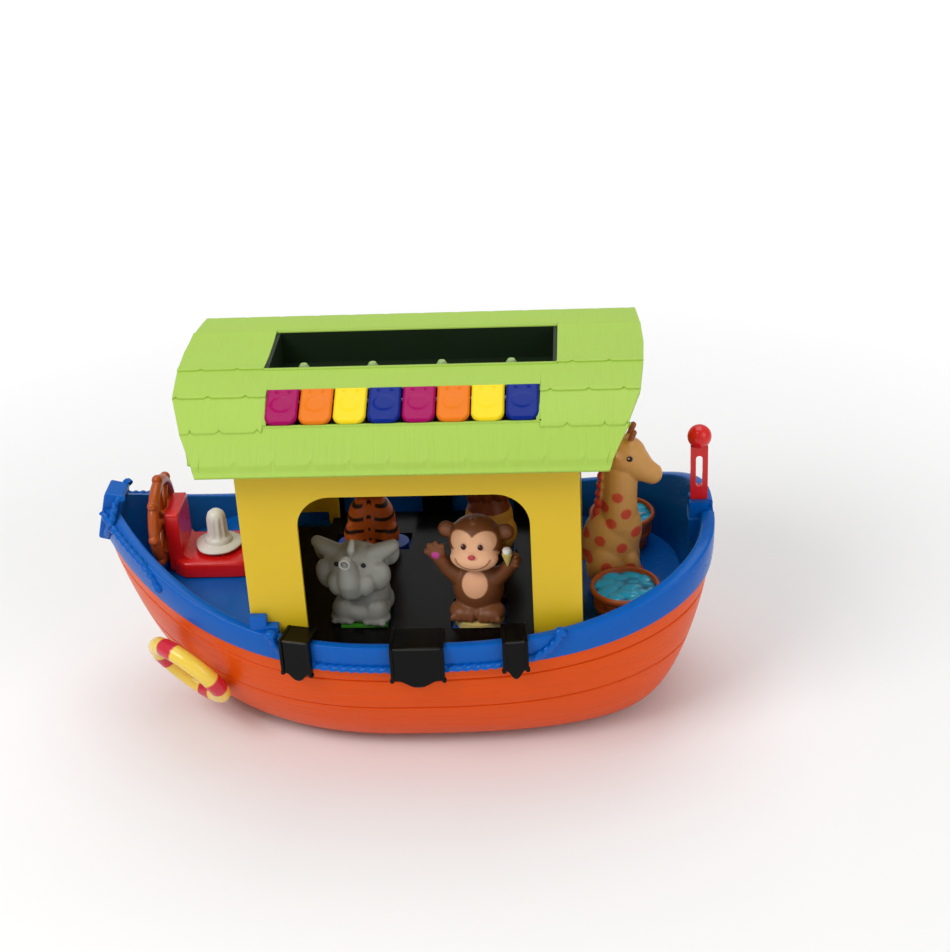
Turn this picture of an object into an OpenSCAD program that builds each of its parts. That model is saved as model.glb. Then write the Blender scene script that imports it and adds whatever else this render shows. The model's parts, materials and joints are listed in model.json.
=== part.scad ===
// Toy ark on wheels: planked hull with raised ends, cabin with arched sides, shingled roof
// with a row of keys, helm, seat button, stern lever, tubs, life rings and animal figures.
// Millimetres. The bow is -X, the stern +X, the port side -Y and the floor Z = 0.

/* [Hull] */
// Half of the overall length
half_len = 190; // [188:0.5:192]
// Half breadth of the rim amidships
half_beam = 100; // [99:0.5:102]
// Height of the rim amidships
rim_h = 90; // [89:0.5:92]
// Rise of the rim at the bow
sheer_bow = 50; // [48:1:52]
// Rise of the rim at the stern
sheer_stern = 35; // [33:1:37]
// Height of the flat bottom above the floor
bottom_h = 6; // [5.5:0.5:6.5]
// Thickness of the hull shell
shell_t = 2.5; // [2:0.1:2.6]
// Depth of the plank grooves
plank_groove = 1; // [0.6:0.1:1.2]
// Height of the deck floor
deck_h = 73; // [72:0.5:74]
// Thickness of the deck floor
deck_t = 3.2; // [3:0.1:3.4]
// Height of the raised foredeck above the deck floor
foredeck_up = 18; // [17:0.5:19]

/* [Cabin and roof] */
// Setback of the cabin wall from the outside of the rim at the fore posts
cabin_set = 5.9; // [5.8:0.1:6.5]
// Fore end of the cabin
cabin_fore = -85; // [-86:0.5:-84]
// Aft end of the cabin
cabin_aft = 109.5; // [109:0.5:110.5]
// Thickness of the cabin walls
wall_t = 3; // [2.5:0.1:3.2]
// Drop from the crown of the roof to the top of the side arches
arch_drop = 57; // [54:1:60]
// Corner radius of the side arches
arch_r = 20; // [14:1:24]
// Height of the crown of the roof
roof_top = 236; // [235:0.5:237]
// Fall of the roof from crown to eave
roof_drop = 33; // [32:0.5:34]
// Half breadth of the roof
roof_hw = 98; // [97:0.5:99]
// Thickness of the roof sheet
roof_t = 2.4; // [2:0.1:2.6]
// Thickness of a shingle course at its butt
course_t = 1.2; // [0.8:0.1:1.4]

/* [Keys and plungers] */
// Number of keys is fixed at eight; pitch of the keys
key_pitch = 19.3; // [19:0.1:19.5]
// Width of one key
key_w = 18.5; // [18:0.1:18.6]
// Thickness of a key plate
key_t = 3.2; // [2.8:0.1:3.4]
// Slope of the keys
key_slope = 23.5; // [22.5:0.5:24.5]
// Radius of the key rod
rod_r = 1.5; // [1.3:0.1:1.6]
// Radius of a roof plunger
plunger_r = 3.25; // [3:0.05:3.5]
// Spacing of the roof plungers
plunger_pitch = 41; // [40.5:0.5:42]

/* [Helm, lever and running gear] */
// Radius of the helm wheel over its knobs
helm_r = 30.5; // [28:0.5:30.5]
// Radius of the helm shaft
helm_shaft_r = 3; // [2.5:0.1:3.5]
// Radius of the seat peg
peg_r = 5.5; // [5:0.1:6]
// Radius of the lever pin
lever_pin_r = 1.6; // [1.4:0.1:1.8]
// Radius of the road wheels
wheel_r = 13; // [12.8:0.1:13.2]
// Width of the road wheels
wheel_w = 8; // [7:0.5:9]
// Radius of the axles
axle_r = 2; // [1.8:0.1:2.2]
// Radial clearance of turning and sliding fits
run_fit = 0.05; // [0.03:0.01:0.08]
// Gap between parts that are fixed together
seat_gap = 0.3; // [0.2:0.05:0.4]

/* [Hidden] */
$fn = 48;
ring_n = 72;
joint_t = 0.804;
foredeck_h = deck_h + foredeck_up;
cabin_hw = half_beam * bow_f(-cabin_fore / half_len) - cabin_set;
arch_top = roof_top - arch_drop;
door_top = arch_top - 15;
ceil_z = roof_top - roof_drop - 3;
ceil_top = ceil_z + 2.5;
mid_x = (cabin_fore + cabin_aft) / 2;
key_x0 = mid_x - 1 - 3.5 * key_pitch;
key_end = key_x0 + 7 * key_pitch;
key_y = -53;
key_z = roof_top - 0.6;
hinge_y = key_y - 5 * cos(key_slope) + 7.5 * sin(key_slope);
hinge_z = key_z - 5 * sin(key_slope) - 7.5 * cos(key_slope);
recess_mid = mid_x + 1;
recess_x = 84.2;
recess_y = 27.7;
recess_floor = roof_top - 23;
plunger_x0 = mid_x - 3.25 - 1.5 * plunger_pitch;
helm_x = -half_len + 39.5;
helm_z = foredeck_h + 31.5;
helm_front = helm_x + 4.5;
seat_x = -half_len + 73;
seat_top = foredeck_h + 11;
lever_x = half_len - 9;
post_top = rim_h + sheer_stern - 5;
lever_z = post_top + 6.6;
tray_t = 4.6;
tray_top = deck_h + tray_t;
base_h = 5;
// Place of each figure and half the size of the window round its base in the tray
figures = [[-22, -44, 15.5, 14.5], [47, -44, 16.5, 16.5], [-26, 44, 24.5, 10.5], [50, 44, 16.5, 14.5]];
giraffe_spot = [half_len - 59, -3];
axle_xs = [-75, 85];
tub_x = half_len - 55;
tub_y = half_beam - 55.5;
hull_in = bottom_h + shell_t;

green = [0.60, 0.78, 0.20];
yellow = [0.85, 0.70, 0.08];
blue = [0.03, 0.20, 0.62];
orange = [0.82, 0.24, 0.04];
red = [0.62, 0.02, 0.03];
brown = [0.45, 0.18, 0.05];
black = [0.03, 0.03, 0.03];
metal = [0.62, 0.62, 0.64];

// Plan shape of the rim from midship (0) to the bow (1)
function bow_f(s) = pow(max(0, 1 - pow(s, 2.25)), 0.85);
// Plan shape of the rim from midship (0) to the stern (1)
function stern_f(s) = pow(max(0, 1 - pow(s, 2.6)), 0.33);
// How far a level draws in below the rim: 1 at the bottom, 0 at the rim
function draw_in(t) = pow(1 - pow(t, 0.62), 1.35);
// Half breadth and height of the rim at a station
function rim_b(x) = half_beam * (x < 0 ? bow_f(-x / half_len) : stern_f(x / half_len));
function rim_z(x) = rim_h + (x < 0 ? sheer_bow : sheer_stern) * pow(abs(x) / half_len, 3);

// One point of a ring: a = 0 at the bow, 90 to port, 180 at the stern, 270 to starboard
function ring_pt(a, lb, ls, b, z, zb, zs) =
    let (s = abs(cos(a)), side = a <= 180 ? -1 : 1)
    cos(a) > 0
        ? [-lb * s, side * b * bow_f(s), z + zb * s * s * s]
        : [ls * s, side * b * stern_f(s), z + zs * s * s * s];
function ring(lb, ls, b, z, zb, zs) =
    [for (i = [0:ring_n - 1]) ring_pt(360 * i / ring_n, lb, ls, b, z, zb, zs)];
// Point of the hull at level t (0 bottom, 1 rim), d inside the outer surface
function hull_pt(a, t, d, dz = 0) =
    ring_pt(a, half_len - 58 * draw_in(t) - 1.4 * d, half_len - 40 * draw_in(t) - 1.2 * d,
        half_beam - 34 * draw_in(t) - d, bottom_h + (rim_h - bottom_h) * t + dz,
        sheer_bow * pow(t, 0.85), sheer_stern * pow(t, 0.85));
function hull_ring(t, d, dz = 0) = [for (i = [0:ring_n - 1]) hull_pt(360 * i / ring_n, t, d, dz)];
// Outward normal of the hull
function hull_n(a, t) =
    let (n = cross(hull_pt(a + 1, t, 0) - hull_pt(a - 1, t, 0),
        hull_pt(a, t + 0.01, 0) - hull_pt(a, t - 0.01, 0)))
    n / norm(n);

// Solid skinned over a stack of rings, the first and last rings flat
module skin(rings) {
    n = ring_n;
    k = len(rings);
    sides = [for (j = [0:k - 2], i = [0:n - 1]) each
        [[j * n + i, (j + 1) * n + i, (j + 1) * n + (i + 1) % n],
         [j * n + i, (j + 1) * n + (i + 1) % n, j * n + (i + 1) % n]]];
    first = [for (i = [0:n - 1]) i];
    last = [for (i = [0:n - 1]) k * n - 1 - i];
    polyhedron([for (r = rings) each r], concat([first, last], sides));
}

// Box given by its two corners
module box(a, b) {
    translate(a) cube(b - a);
}
// Cylinder along X and along Y
module rod_x(r, x0, x1, y, z) {
    translate([x0, y, z]) rotate([0, 90, 0]) cylinder(r = r, h = x1 - x0);
}
module rod_y(r, y0, y1, x, z) {
    translate([x, y0, z]) rotate([-90, 0, 0]) cylinder(r = r, h = y1 - y0);
}
// Prism of a YZ outline along X, and of an XZ outline along Y
module along_x(x0, x1) {
    translate([x0, 0, 0]) rotate([90, 0, 90]) linear_extrude(x1 - x0) children();
}
module along_y(y0, y1) {
    translate([0, y1, 0]) rotate([90, 0, 0]) linear_extrude(y1 - y0) children();
}
module both_sides() {
    children();
    mirror([0, 1, 0]) children();
}

// Life ring seat on the hull: z of the children points out of the planking, tipped down by ring_tilt
ring_a = 43;
ring_t = 0.44;
ring_tilt = 12;
ring_off = 9.8;
module on_hull() {
    p = hull_pt(ring_a, ring_t, 0);
    n = hull_n(ring_a, ring_t);
    translate(p) rotate([0, acos(n[2]) + ring_tilt, atan2(n[1], n[0])]) children();
}
module ring_pegs(r, deep) {
    for (s = [-1, 1]) translate([s * 17.3, 17.3, -deep]) cylinder(r = r, h = deep + ring_off);
}

module hull_shell() {
    outer = [0, 0.03, 0.08, 0.15, 0.22, 0.3, 0.395, 0.405, 0.415, 0.5, 0.6, 0.68, 0.69, 0.7, 0.76];
    color(orange) difference() {
        skin(concat(
            [for (t = outer) hull_ring(t, (t == 0.405 || t == 0.69) ? plank_groove : 0)],
            [hull_ring(joint_t, 0), hull_ring(joint_t, shell_t)],
            [for (t = [0.6, 0.4, 0.22, 0.1, 0.04, 0]) hull_ring(t, shell_t, t < 0.05 ? shell_t : 0)]));
        for (x = axle_xs) {
            both_sides() box([x - 13.7, 36 - wheel_w / 2 - 1.5, 0],
                [x + 13.7, 36 + wheel_w / 2 + 1.5, hull_in + 1]);
            screw_spots(x, 1.5, 0, hull_in + 1);
        }
        box([-32, -27.5, 0], [32, 27.5, hull_in + 1]);
        box([39, -3.3, 0], [53, 3.3, hull_in + 1]);
        both_sides() on_hull() ring_pegs(3 + 0.1, 15);
    }
}

// Frame of the stem post: x points aft from its leaning front face, z up along it
module on_stem() {
    translate([-half_len, 0, rim_h + sheer_bow - 26]) rotate([0, 14.5, 0]) children();
}

module deck() {
    top = deck_h;
    step_y = cabin_hw + seat_gap;
    color(blue) difference() {
        union() {
            difference() {
                skin([
                    ring(half_len - 24, half_len - 16, half_beam - 7, top - deck_t, 0, 0),
                    hull_ring(joint_t - 0.01, shell_t + 0.5),
                    hull_ring(joint_t + 0.003, shell_t + 0.5),
                    hull_ring(joint_t + 0.003, -0.9),
                    hull_ring(0.9, -0.6),
                    ring(half_len, half_len, half_beam, rim_h - 1.5, sheer_bow, sheer_stern),
                    ring(half_len - 0.8, half_len - 0.8, half_beam - 1, rim_h, sheer_bow, sheer_stern),
                    ring(half_len - 9, half_len - 7, half_beam - 5, rim_h, sheer_bow, sheer_stern),
                    ring(half_len - 10, half_len - 8, half_beam - 6, rim_h - 1.5, sheer_bow, sheer_stern),
                    ring(half_len - 28, half_len - 19, half_beam - 8.5, top, 0, 0)]);
                on_stem() box([-30, -40, -40], [0, 40, 70]);
            }
            intersection() {
                translate([0, 0, foredeck_h - 5]) linear_extrude(5) polygon(
                    [for (p = ring(half_len - 18, half_len - 30, half_beam - 2, 0, 0, 0)) [p[0], p[1]]]);
                box([-half_len, -half_beam, 0], [cabin_fore - seat_gap, half_beam, rim_h * 2]);
            }
            box([cabin_fore - 4, -68, top - 1], [cabin_fore - seat_gap, 68, foredeck_h]);
            on_stem() {
                box([0, -8.2, 5], [9.5, 8.2, 33]);
                box([0, -8.2, 0.8], [2.4, 8.2, 6]);
            }
            box([lever_x - 7, -8, post_top - 13], [lever_x + 6.5, 8, post_top]);
        }
        cabin_space(seat_gap);
        box([lever_x - 20, -6.5 - seat_gap, post_top], [half_len + 1, 6.5 + seat_gap, rim_h * 2]);
    }
    color(blue) both_sides() {
        box([cabin_fore, step_y, rim_h - 2], [cabin_fore + 10, cabin_hw + 5.2, rim_h + 13]);
        box([cabin_fore + 10, step_y, rim_h - 2], [cabin_fore + 16.5, cabin_hw + 6.8, rim_h + 7]);
    }
}
// Roof height without shingles, and with them
function roof_z(y) = roof_top - course_t - roof_drop * pow(abs(y) / roof_hw, 4);
butts = [0, 27, 57, 80, roof_hw];
half_roof = [for (c = [0:3], i = [0:5])
    let (y = butts[c] + (butts[c + 1] - butts[c]) * i / 5)
    [y, roof_z(y) + course_t * i / 5]];
under_y = [for (i = [0:12]) (roof_hw - 2.5) * i / 12];
module roof_outline() {
    eave = roof_top - roof_drop - 1.5;
    up = [for (i = [len(half_roof) - 1:-1:1]) [-half_roof[i][0], half_roof[i][1]]];
    under = [for (i = [12:-1:0]) [under_y[i], roof_z(under_y[i]) - roof_t]];
    back = [for (i = [1:12]) [-under_y[i], roof_z(under_y[i]) - roof_t]];
    polygon(concat([[-roof_hw, eave]], up, half_roof, [[roof_hw, eave], [roof_hw - 2.5, eave]],
        under, back, [[-roof_hw + 2.5, eave]]));
}
module under_roof_outline(gap) {
    polygon(concat([[-cabin_hw - 5, 0], [cabin_hw + 5, 0]],
        [for (i = [11:-1:0]) [under_y[i], roof_z(under_y[i]) - roof_t - gap]],
        [for (i = [1:11]) [-under_y[i], roof_z(under_y[i]) - roof_t - gap]]));
}

module arch_outline(x0, x1, z0, z1, r) {
    translate([x0, z0]) square([x1 - x0, z1 - r - z0]);
    translate([x0 + r, z0]) square([x1 - x0 - 2 * r, z1 - z0]);
    translate([x0 + r, z1 - r]) circle(r = r);
    translate([x1 - r, z1 - r]) circle(r = r);
}

// Block the cabin stands in, grown by g; its fore corners stop above the hull side
module cabin_space(g) {
    difference() {
        box([cabin_fore - g, -cabin_hw - g, deck_h], [cabin_aft + g, cabin_hw + g, roof_top]);
        both_sides() box([cabin_fore - 1, cabin_hw - 13 + g, 0],
            [cabin_fore + 26 - g, cabin_hw + 1, deck_h + 9 - g]);
    }
}
module cabin() {
    color(yellow) difference() {
        intersection() {
            cabin_space(0);
            along_x(cabin_fore - 1, cabin_aft + 1) under_roof_outline(0.1);
        }
        box([cabin_fore + wall_t, -cabin_hw + wall_t, 0],
            [cabin_aft - wall_t, cabin_hw - wall_t, roof_top * 2]);
        along_y(-cabin_hw - 1, cabin_hw + 1)
            arch_outline(cabin_fore + 33, cabin_aft - 28.5, deck_h - 1, arch_top, arch_r);
        along_x(cabin_fore - 1, cabin_fore + wall_t + 1)
            arch_outline(-24, 24, foredeck_h, door_top, 23.9);
        along_x(cabin_aft - wall_t - 1, cabin_aft + 1)
            arch_outline(-24, 24, deck_h - 1, door_top, 23.9);
    }
}

// Outline of the roof from above: its ends swell out from the eaves to the ridge
roof_ys = [roof_hw + 1, 80, 57, 27, 0];
fore_out = [17.5, 22.5, 33.5, 37, 38];
aft_out = [16, 25, 34.5, 37.5, 38.5];
roof_plan = concat(
    [for (i = [0:4]) [cabin_fore - fore_out[i], roof_ys[i]]],
    [for (i = [3:-1:0]) [cabin_fore - fore_out[i], -roof_ys[i]]],
    [for (i = [0:4]) [cabin_aft + aft_out[i], -roof_ys[i]]],
    [for (i = [3:-1:0]) [cabin_aft + aft_out[i], roof_ys[i]]]);
module roof_shell() {
    x0 = key_x0 - key_w / 2 - 0.5;
    x1 = key_end + key_w / 2 + 0.5;
    color(green) difference() {
        intersection() {
            along_x(cabin_fore - 50, cabin_aft + 50) roof_outline();
            linear_extrude(roof_top * 2) polygon(roof_plan);
        }
        box([recess_mid - recess_x - seat_gap, -recess_y - seat_gap, ceil_z],
            [recess_mid + recess_x + seat_gap, recess_y + seat_gap, roof_top * 2]);
        box([x0, key_y - 24.3, ceil_z], [x1, key_y + 1.6, roof_top * 2]);
    }
}

module roof_ceiling() {
    color(yellow) box([cabin_fore + wall_t + 0.1, -cabin_hw + wall_t + 0.1, ceil_z],
        [cabin_aft - wall_t - 0.1, cabin_hw - wall_t - 0.1, ceil_top]);
}

module recess_liner() {
    a = [recess_mid - recess_x, -recess_y, recess_floor];
    b = [recess_mid + recess_x, recess_y, roof_z(recess_y)];
    color([0.10, 0.16, 0.05]) difference() {
        union() {
            box(a, b);
            for (x = [a[0] + 4, b[0] - 4], y = [-23, 23]) translate([x, y, ceil_top])
                cylinder(r = 3, h = recess_floor + 1 - ceil_top);
        }
        box(a + [2, 2, 2], b + [-2, -2, roof_top]);
        for (i = [0:3]) translate([plunger_x0 + i * plunger_pitch, 0, recess_floor - 1])
            cylinder(r = plunger_r + run_fit, h = 5);
    }
}

module plunger(i) {
    color([0.62, 0.74, 0.40]) translate([plunger_x0 + i * plunger_pitch, 0, recess_floor]) {
        translate([0, 0, -4]) cylinder(r = plunger_r, h = 14.6);
        translate([0, 0, 10.6]) cylinder(r1 = plunger_r, r2 = plunger_r - 1.2, h = 2);
        translate([0, 0, -2]) cylinder(r = plunger_r + 1.8, h = 1.6);
    }
}

module on_key_slope() {
    translate([0, key_y, key_z]) rotate([key_slope, 0, 0]) children();
}
// One key: plate with a rounded free end and an oval dish, web, barrel and stem
module key(i) {
    hue = [[0.50, 0.04, 0.30], [0.90, 0.30, 0.05], [0.92, 0.72, 0.06], [0.05, 0.09, 0.42]];
    color(hue[i % 4]) translate([key_x0 + i * key_pitch, 0, 0]) difference() {
        union() {
            on_key_slope() translate([0, 0, -key_t]) linear_extrude(key_t) polygon(concat(
                [[key_w / 2, 0], [-key_w / 2, 0]],
                [for (a = [180:15:270]) [-key_w / 2 + 6 + 6 * cos(a), -20 + 6 * sin(a)]],
                [for (a = [270:15:360]) [key_w / 2 - 6 + 6 * cos(a), -20 + 6 * sin(a)]]));
            on_key_slope() box([-key_w / 2 + 1.6, -6.6, -7.3], [key_w / 2 - 1.6, -3.4, -key_t + 0.5]);
            rod_x(2.8, -key_w / 2 + 0.8, key_w / 2 - 0.8, hinge_y, hinge_z);
            box([-2, key_y - 15, ceil_top + 6.5], [2, key_y - 11, key_z - 8.4]);
        }
        rod_x(rod_r + run_fit, -key_w, key_w, hinge_y, hinge_z);
        on_key_slope() translate([0, -15, 17]) sphere(r = 18);
    }
}
module key_rod() {
    color(metal) rod_x(rod_r, key_x0 - key_pitch / 2 - 4, key_end + key_pitch / 2 + 4, hinge_y, hinge_z);
}
module key_frame() {
    xs = [key_x0 - key_pitch / 2 - 4, key_end + key_pitch / 2 + 1.4];
    color(black) difference() {
        for (x = xs) {
            box([x, hinge_y - 2.2, ceil_top], [x + 2.6, hinge_y + 2.6, hinge_z + 1.9]);
            box([x, hinge_y - 8, ceil_top], [x + 2.6, hinge_y + 8, ceil_top + 6]);
        }
        rod_x(rod_r, xs[0] - 5, xs[1] + 5, hinge_y, hinge_z);
    }
}
module circuit_board() {
    color([0.05, 0.35, 0.15]) {
        box([key_x0 - 7, -74, ceil_top], [key_end + 9, 10, ceil_top + 1.6]);
    }
}
module switch_mat() {
    z = ceil_top + 1.6;
    color([0.75, 0.75, 0.72]) {
        box([key_x0 - 5, -73, z], [key_end + 7, 8, z + 0.8]);
        for (i = [0:7]) translate([key_x0 + i * key_pitch, key_y - 13, z + 0.5])
            cylinder(r1 = 4, r2 = 2.5, h = 2.7);
        for (i = [0:3]) translate([plunger_x0 + i * plunger_pitch, 0, z + 0.5])
            cylinder(r1 = 4, r2 = 2.5, h = 1.9);
    }
}

// Console: an upright with a soft top, a hollow curve down to the seat, and a bevelled seat base
module helm_console() {
    z = foredeck_h;
    aft = helm_front + 9;
    x1 = seat_x + 24;
    color(red) difference() {
        union() {
            intersection() {
                along_y(-30, 30) polygon(concat(
                    [[helm_front, z], [helm_front, z + 39], [helm_front + 3, z + 42.5]],
                    [[aft - 2, z + 42.5], [aft, z + 40.5]],
                    [for (a = [180:15:270]) [aft + 6 + 6 * cos(a), seat_top + 6 + 6 * sin(a)]],
                    [[aft + 6, z]]));
                along_x(helm_front - 1, aft + 10) polygon(
                    [[-15.5, z], [15.5, z], [15.5, z + 38], [12, z + 42.5], [-12, z + 42.5], [-15.5, z + 38]]);
            }
            translate([0, 0, z]) linear_extrude(seat_top - z) polygon(
                [[helm_front, -14], [aft, -21], [x1 - 7, -21], [x1, -15],
                [x1, 15], [x1 - 7, 21], [aft, 21], [helm_front, 14]]);
        }
        rod_x(helm_shaft_r + run_fit, helm_front - 5, helm_front + 7.5, 0, helm_z);
        translate([seat_x, 0, z + 1.5]) cylinder(r = 8 + run_fit, h = 20);
    }
}
module seat_button() {
    z = seat_top + 1.8;
    color([0.80, 0.78, 0.75]) translate([seat_x, 0, 0]) {
        translate([0, 0, seat_top - 7]) cylinder(r = 8, h = 9);
        translate([0, 0, z]) cylinder(r = 14.2, h = 2.4);
        translate([0, 0, z + 2.4]) cylinder(r = 8, h = 3.6);
        translate([0, 0, z + 6]) cylinder(r = peg_r, h = 13);
        translate([0, 0, z + 19]) sphere(r = peg_r);
    }
}
module steering_wheel() {
    rim = helm_r - 6;
    color(brown) difference() {
        translate([helm_x, 0, helm_z]) rotate([0, 90, 0]) {
            rotate_extrude() translate([rim, 0]) circle(r = 3.4);
            translate([0, 0, -3.5]) cylinder(r = 7, h = 7.5);
            for (a = [0:45:315]) rotate([0, 0, a]) {
                translate([5.8, 0, 0]) rotate([0, 90, 0]) cylinder(r = 2, h = rim - 5.8);
                translate([helm_r - 3.3, 0, 0]) sphere(r = 3.3);
            }
        }
        rod_x(helm_shaft_r, helm_x - 2, helm_x + 10, 0, helm_z);
    }
}
module steering_shaft() {
    color(metal) rod_x(helm_shaft_r, helm_x - 2, helm_front + 7.2, 0, helm_z);
}

module lever_bracket() {
    color(blue) difference() {
        union() {
            box([lever_x - 6.5, -6.5, post_top], [lever_x + 6, 6.5, post_top + 2]);
            both_sides() box([lever_x - 6, 2.3, post_top], [lever_x + 5.5, 6.5, lever_z + 3.6]);
        }
        rod_y(lever_pin_r, -5, 5, lever_x, lever_z);
    }
}
module lever_pin() {
    color(metal) rod_y(lever_pin_r, -5, 5, lever_x, lever_z);
}
module stern_lever() {
    color(red) {
        difference() {
            along_y(-2, 2) {
                translate([lever_x - 5.2, lever_z + 4]) square([10.4, 35]);
                translate([lever_x - 4.2, lever_z]) square([8.4, 8]);
                translate([lever_x, lever_z]) circle(r = 4.2);
            }
            rod_y(lever_pin_r + run_fit, -10, 10, lever_x, lever_z);
            along_y(-5, 5) {
                translate([lever_x - 2, lever_z + 14]) square([4, 17]);
                translate([lever_x, lever_z + 14]) circle(r = 2);
                translate([lever_x, lever_z + 31]) circle(r = 2);
            }
        }
        translate([lever_x, 0, lever_z + 45.4]) sphere(r = 7.25);
    }
}

module life_ring() {
    color([0.88, 0.62, 0.08]) on_hull() {
        translate([0, 0, ring_off]) rotate_extrude() translate([24.5, 0]) circle(r = 5.5);
        ring_pegs(3, 9);
    }
}
module life_ring_port() {
    life_ring();
}
module life_ring_starboard() {
    mirror([0, 1, 0]) life_ring();
}

module tub() {
    color(brown) translate([tub_x, -tub_y, deck_h]) rotate_extrude() polygon(
        [[0, 0], [16, 0], [17.6, 9], [18.8, 9.6], [19, 13], [18.5, 13.6],
        [19.8, 20], [21, 20.5], [21, 24], [18.5, 24], [18.5, 18], [0, 18]]);
}
module tub_port() {
    tub();
}
module tub_starboard() {
    mirror([0, 1, 0]) tub();
}
module tub_water() {
    color([0.02, 0.30, 0.42]) both_sides()
        translate([tub_x, -tub_y, deck_h + 18]) cylinder(r = 18.4, h = 3.6);
}

// One hook of the tray over the rim: plate on top, riser inside, ribbed leg outside with a lobed foot
module tray_clip(x, w, x0, x1) {
    yaw = atan2(rim_b(x + 2) - rim_b(x - 2), 4);
    top = max(rim_z(x - w / 2), rim_z(x + w / 2)) + 0.4;
    foot = rim_h - 27;
    box([x0, -cabin_hw - 3.2, deck_h], [x1, -cabin_hw - 1, top + 2.4]);
    intersection() {
        box([x - w, -half_beam - 5, top], [x + w, -cabin_hw - 0.8, top + 2.4]);
        translate([x, -rim_b(x), 0]) rotate([0, 0, -yaw]) box([-w / 2, -3.2, 0], [w / 2, 30, rim_h * 2]);
    }
    translate([x, -rim_b(x), 0]) rotate([0, 0, -yaw]) {
        along_y(-3.2, -0.7) {
            translate([-w / 2, foot]) square([w, top + 2.4 - foot]);
            translate([-w / 4, foot - 2.5]) square([w / 2, 5]);
            translate([-w / 4, foot]) circle(r = 2.5);
            translate([w / 4, foot]) circle(r = 2.5);
        }
        for (s = [-1, 1]) translate([s * w / 2, 0, 0]) box([-0.7, -4.2, foot], [0.7, -0.7, top + 2.4]);
    }
}
module figure_tray() {
    x0 = cabin_fore + 34;
    x1 = cabin_aft - 29.5;
    in = wall_t + 0.5;
    color(black) {
        difference() {
            union() {
                box([cabin_fore + in, -cabin_hw + 15, deck_h], [cabin_fore + 30, cabin_hw - 15, tray_top]);
                box([cabin_fore + 29, -cabin_hw + in, deck_h], [cabin_aft - in, cabin_hw - in, tray_top]);
                box([x0, -cabin_hw - 3.2, deck_h], [x1, cabin_hw + 3.2, tray_top]);
            }
            for (f = figures)
                box([f[0] - f[2], f[1] - f[3], deck_h - 1], [f[0] + f[2], f[1] + f[3], tray_top + 1]);
        }
        both_sides() {
            tray_clip(-58, 20, x0, x0 + 5);
            tray_clip(12.6, 35, -2, 27);
            tray_clip(70, 16.5, 64, 76);
        }
    }
}

module screw_spots(x, r, z0, z1) {
    for (s = [-1, 1], y = [-22, 22]) translate([x + s * 12, y, z0]) cylinder(r = r, h = z1 - z0);
}
module axle_bracket(x) {
    color(black) difference() {
        both_sides() {
            box([x - 6, 19, hull_in], [x + 6, 25, wheel_r + 6]);
            box([x - 16, 18, hull_in], [x + 16, 26, hull_in + 2]);
        }
        rod_y(axle_r + run_fit, -40, 40, x, wheel_r);
        screw_spots(x, 1.5, 0, wheel_r + 9);
    }
}
module axle_bracket_fore() {
    axle_bracket(axle_xs[0]);
}
module axle_bracket_aft() {
    axle_bracket(axle_xs[1]);
}
module bracket_screws() {
    color(metal) for (x = axle_xs) {
        screw_spots(x, 1.4, bottom_h + 0.6, hull_in + 2);
        screw_spots(x, 2.9, hull_in + 2, hull_in + 3.8);
    }
}
module axle(x) {
    color(metal) rod_y(axle_r, -36 - wheel_w / 2, 36 + wheel_w / 2, x, wheel_r);
}
module axle_fore() {
    axle(axle_xs[0]);
}
module axle_aft() {
    axle(axle_xs[1]);
}
module wheels(x) {
    w = wheel_w / 2;
    color(black) both_sides() translate([x, 36, wheel_r]) rotate([-90, 0, 0]) rotate_extrude() polygon([
        [axle_r, -w], [5, -w], [6, -w + 1.2], [9.5, -w + 1.2], [10.5, -w], [wheel_r - 1, -w],
        [wheel_r, -w + 1], [wheel_r, w - 1], [wheel_r - 1, w], [10.5, w], [9.5, w - 1.2],
        [6, w - 1.2], [5, w], [axle_r, w]]);
}
module wheels_fore() {
    wheels(axle_xs[0]);
}
module wheels_aft() {
    wheels(axle_xs[1]);
}

module battery_box() {
    color([0.15, 0.15, 0.16]) {
        difference() {
            box([-35, -30.5, hull_in], [35, 30.5, hull_in + 18]);
            difference() {
                box([-32, -27.5, 0], [32, 27.5, hull_in + 16]);
                translate([28.5, 0, hull_in]) cylinder(r = 3, h = 20);
            }
            translate([28.5, 0, 0]) cylinder(r = 1.3, h = hull_in + 12);
        }
        box([34, -6, hull_in + 2.6], [56, 6, hull_in + 8]);
        both_sides() box([36, 5, hull_in], [56, 7, hull_in + 8]);
    }
}
module battery_door() {
    color(orange) difference() {
        box([-32 + seat_gap, -27.5 + seat_gap, bottom_h], [32 - seat_gap, 27.5 - seat_gap, hull_in]);
        translate([28.5, 0, 0]) cylinder(r = 1.5, h = 20);
        translate([28.5, 0, 0]) cylinder(r = 2.8, h = bottom_h + 1.2);
    }
}
module door_screw() {
    color(metal) translate([28.5, 0, bottom_h]) {
        cylinder(r = 2.6, h = 1.2);
        cylinder(r = 1.25, h = 12);
    }
}
module battery_cells() {
    color([0.20, 0.22, 0.25]) for (x = [-16, 0, 16]) {
        rod_y(7.2, -25, 24, x - 4, hull_in + 7.8);
        rod_y(2.6, 23, 25.5, x - 4, hull_in + 7.8);
    }
}
module battery_contacts() {
    color(metal) for (x = [-16, 0, 16], s = [-1, 1]) {
        box([x - 9, s > 0 ? 26.9 : -27.5, hull_in + 3], [x + 1, s > 0 ? 27.5 : -26.9, hull_in + 13]);
        rod_y(3, s > 0 ? 25.5 : -26.9, s > 0 ? 26.9 : -25, x - 4, hull_in + 7.8);
    }
}
module power_switch() {
    color(black) {
        box([43, -2.8, bottom_h - 1.5], [49, 2.8, hull_in + 1]);
        box([40, -4.4, hull_in + 0.4], [52, 4.4, hull_in + 2.2]);
    }
}
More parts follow.
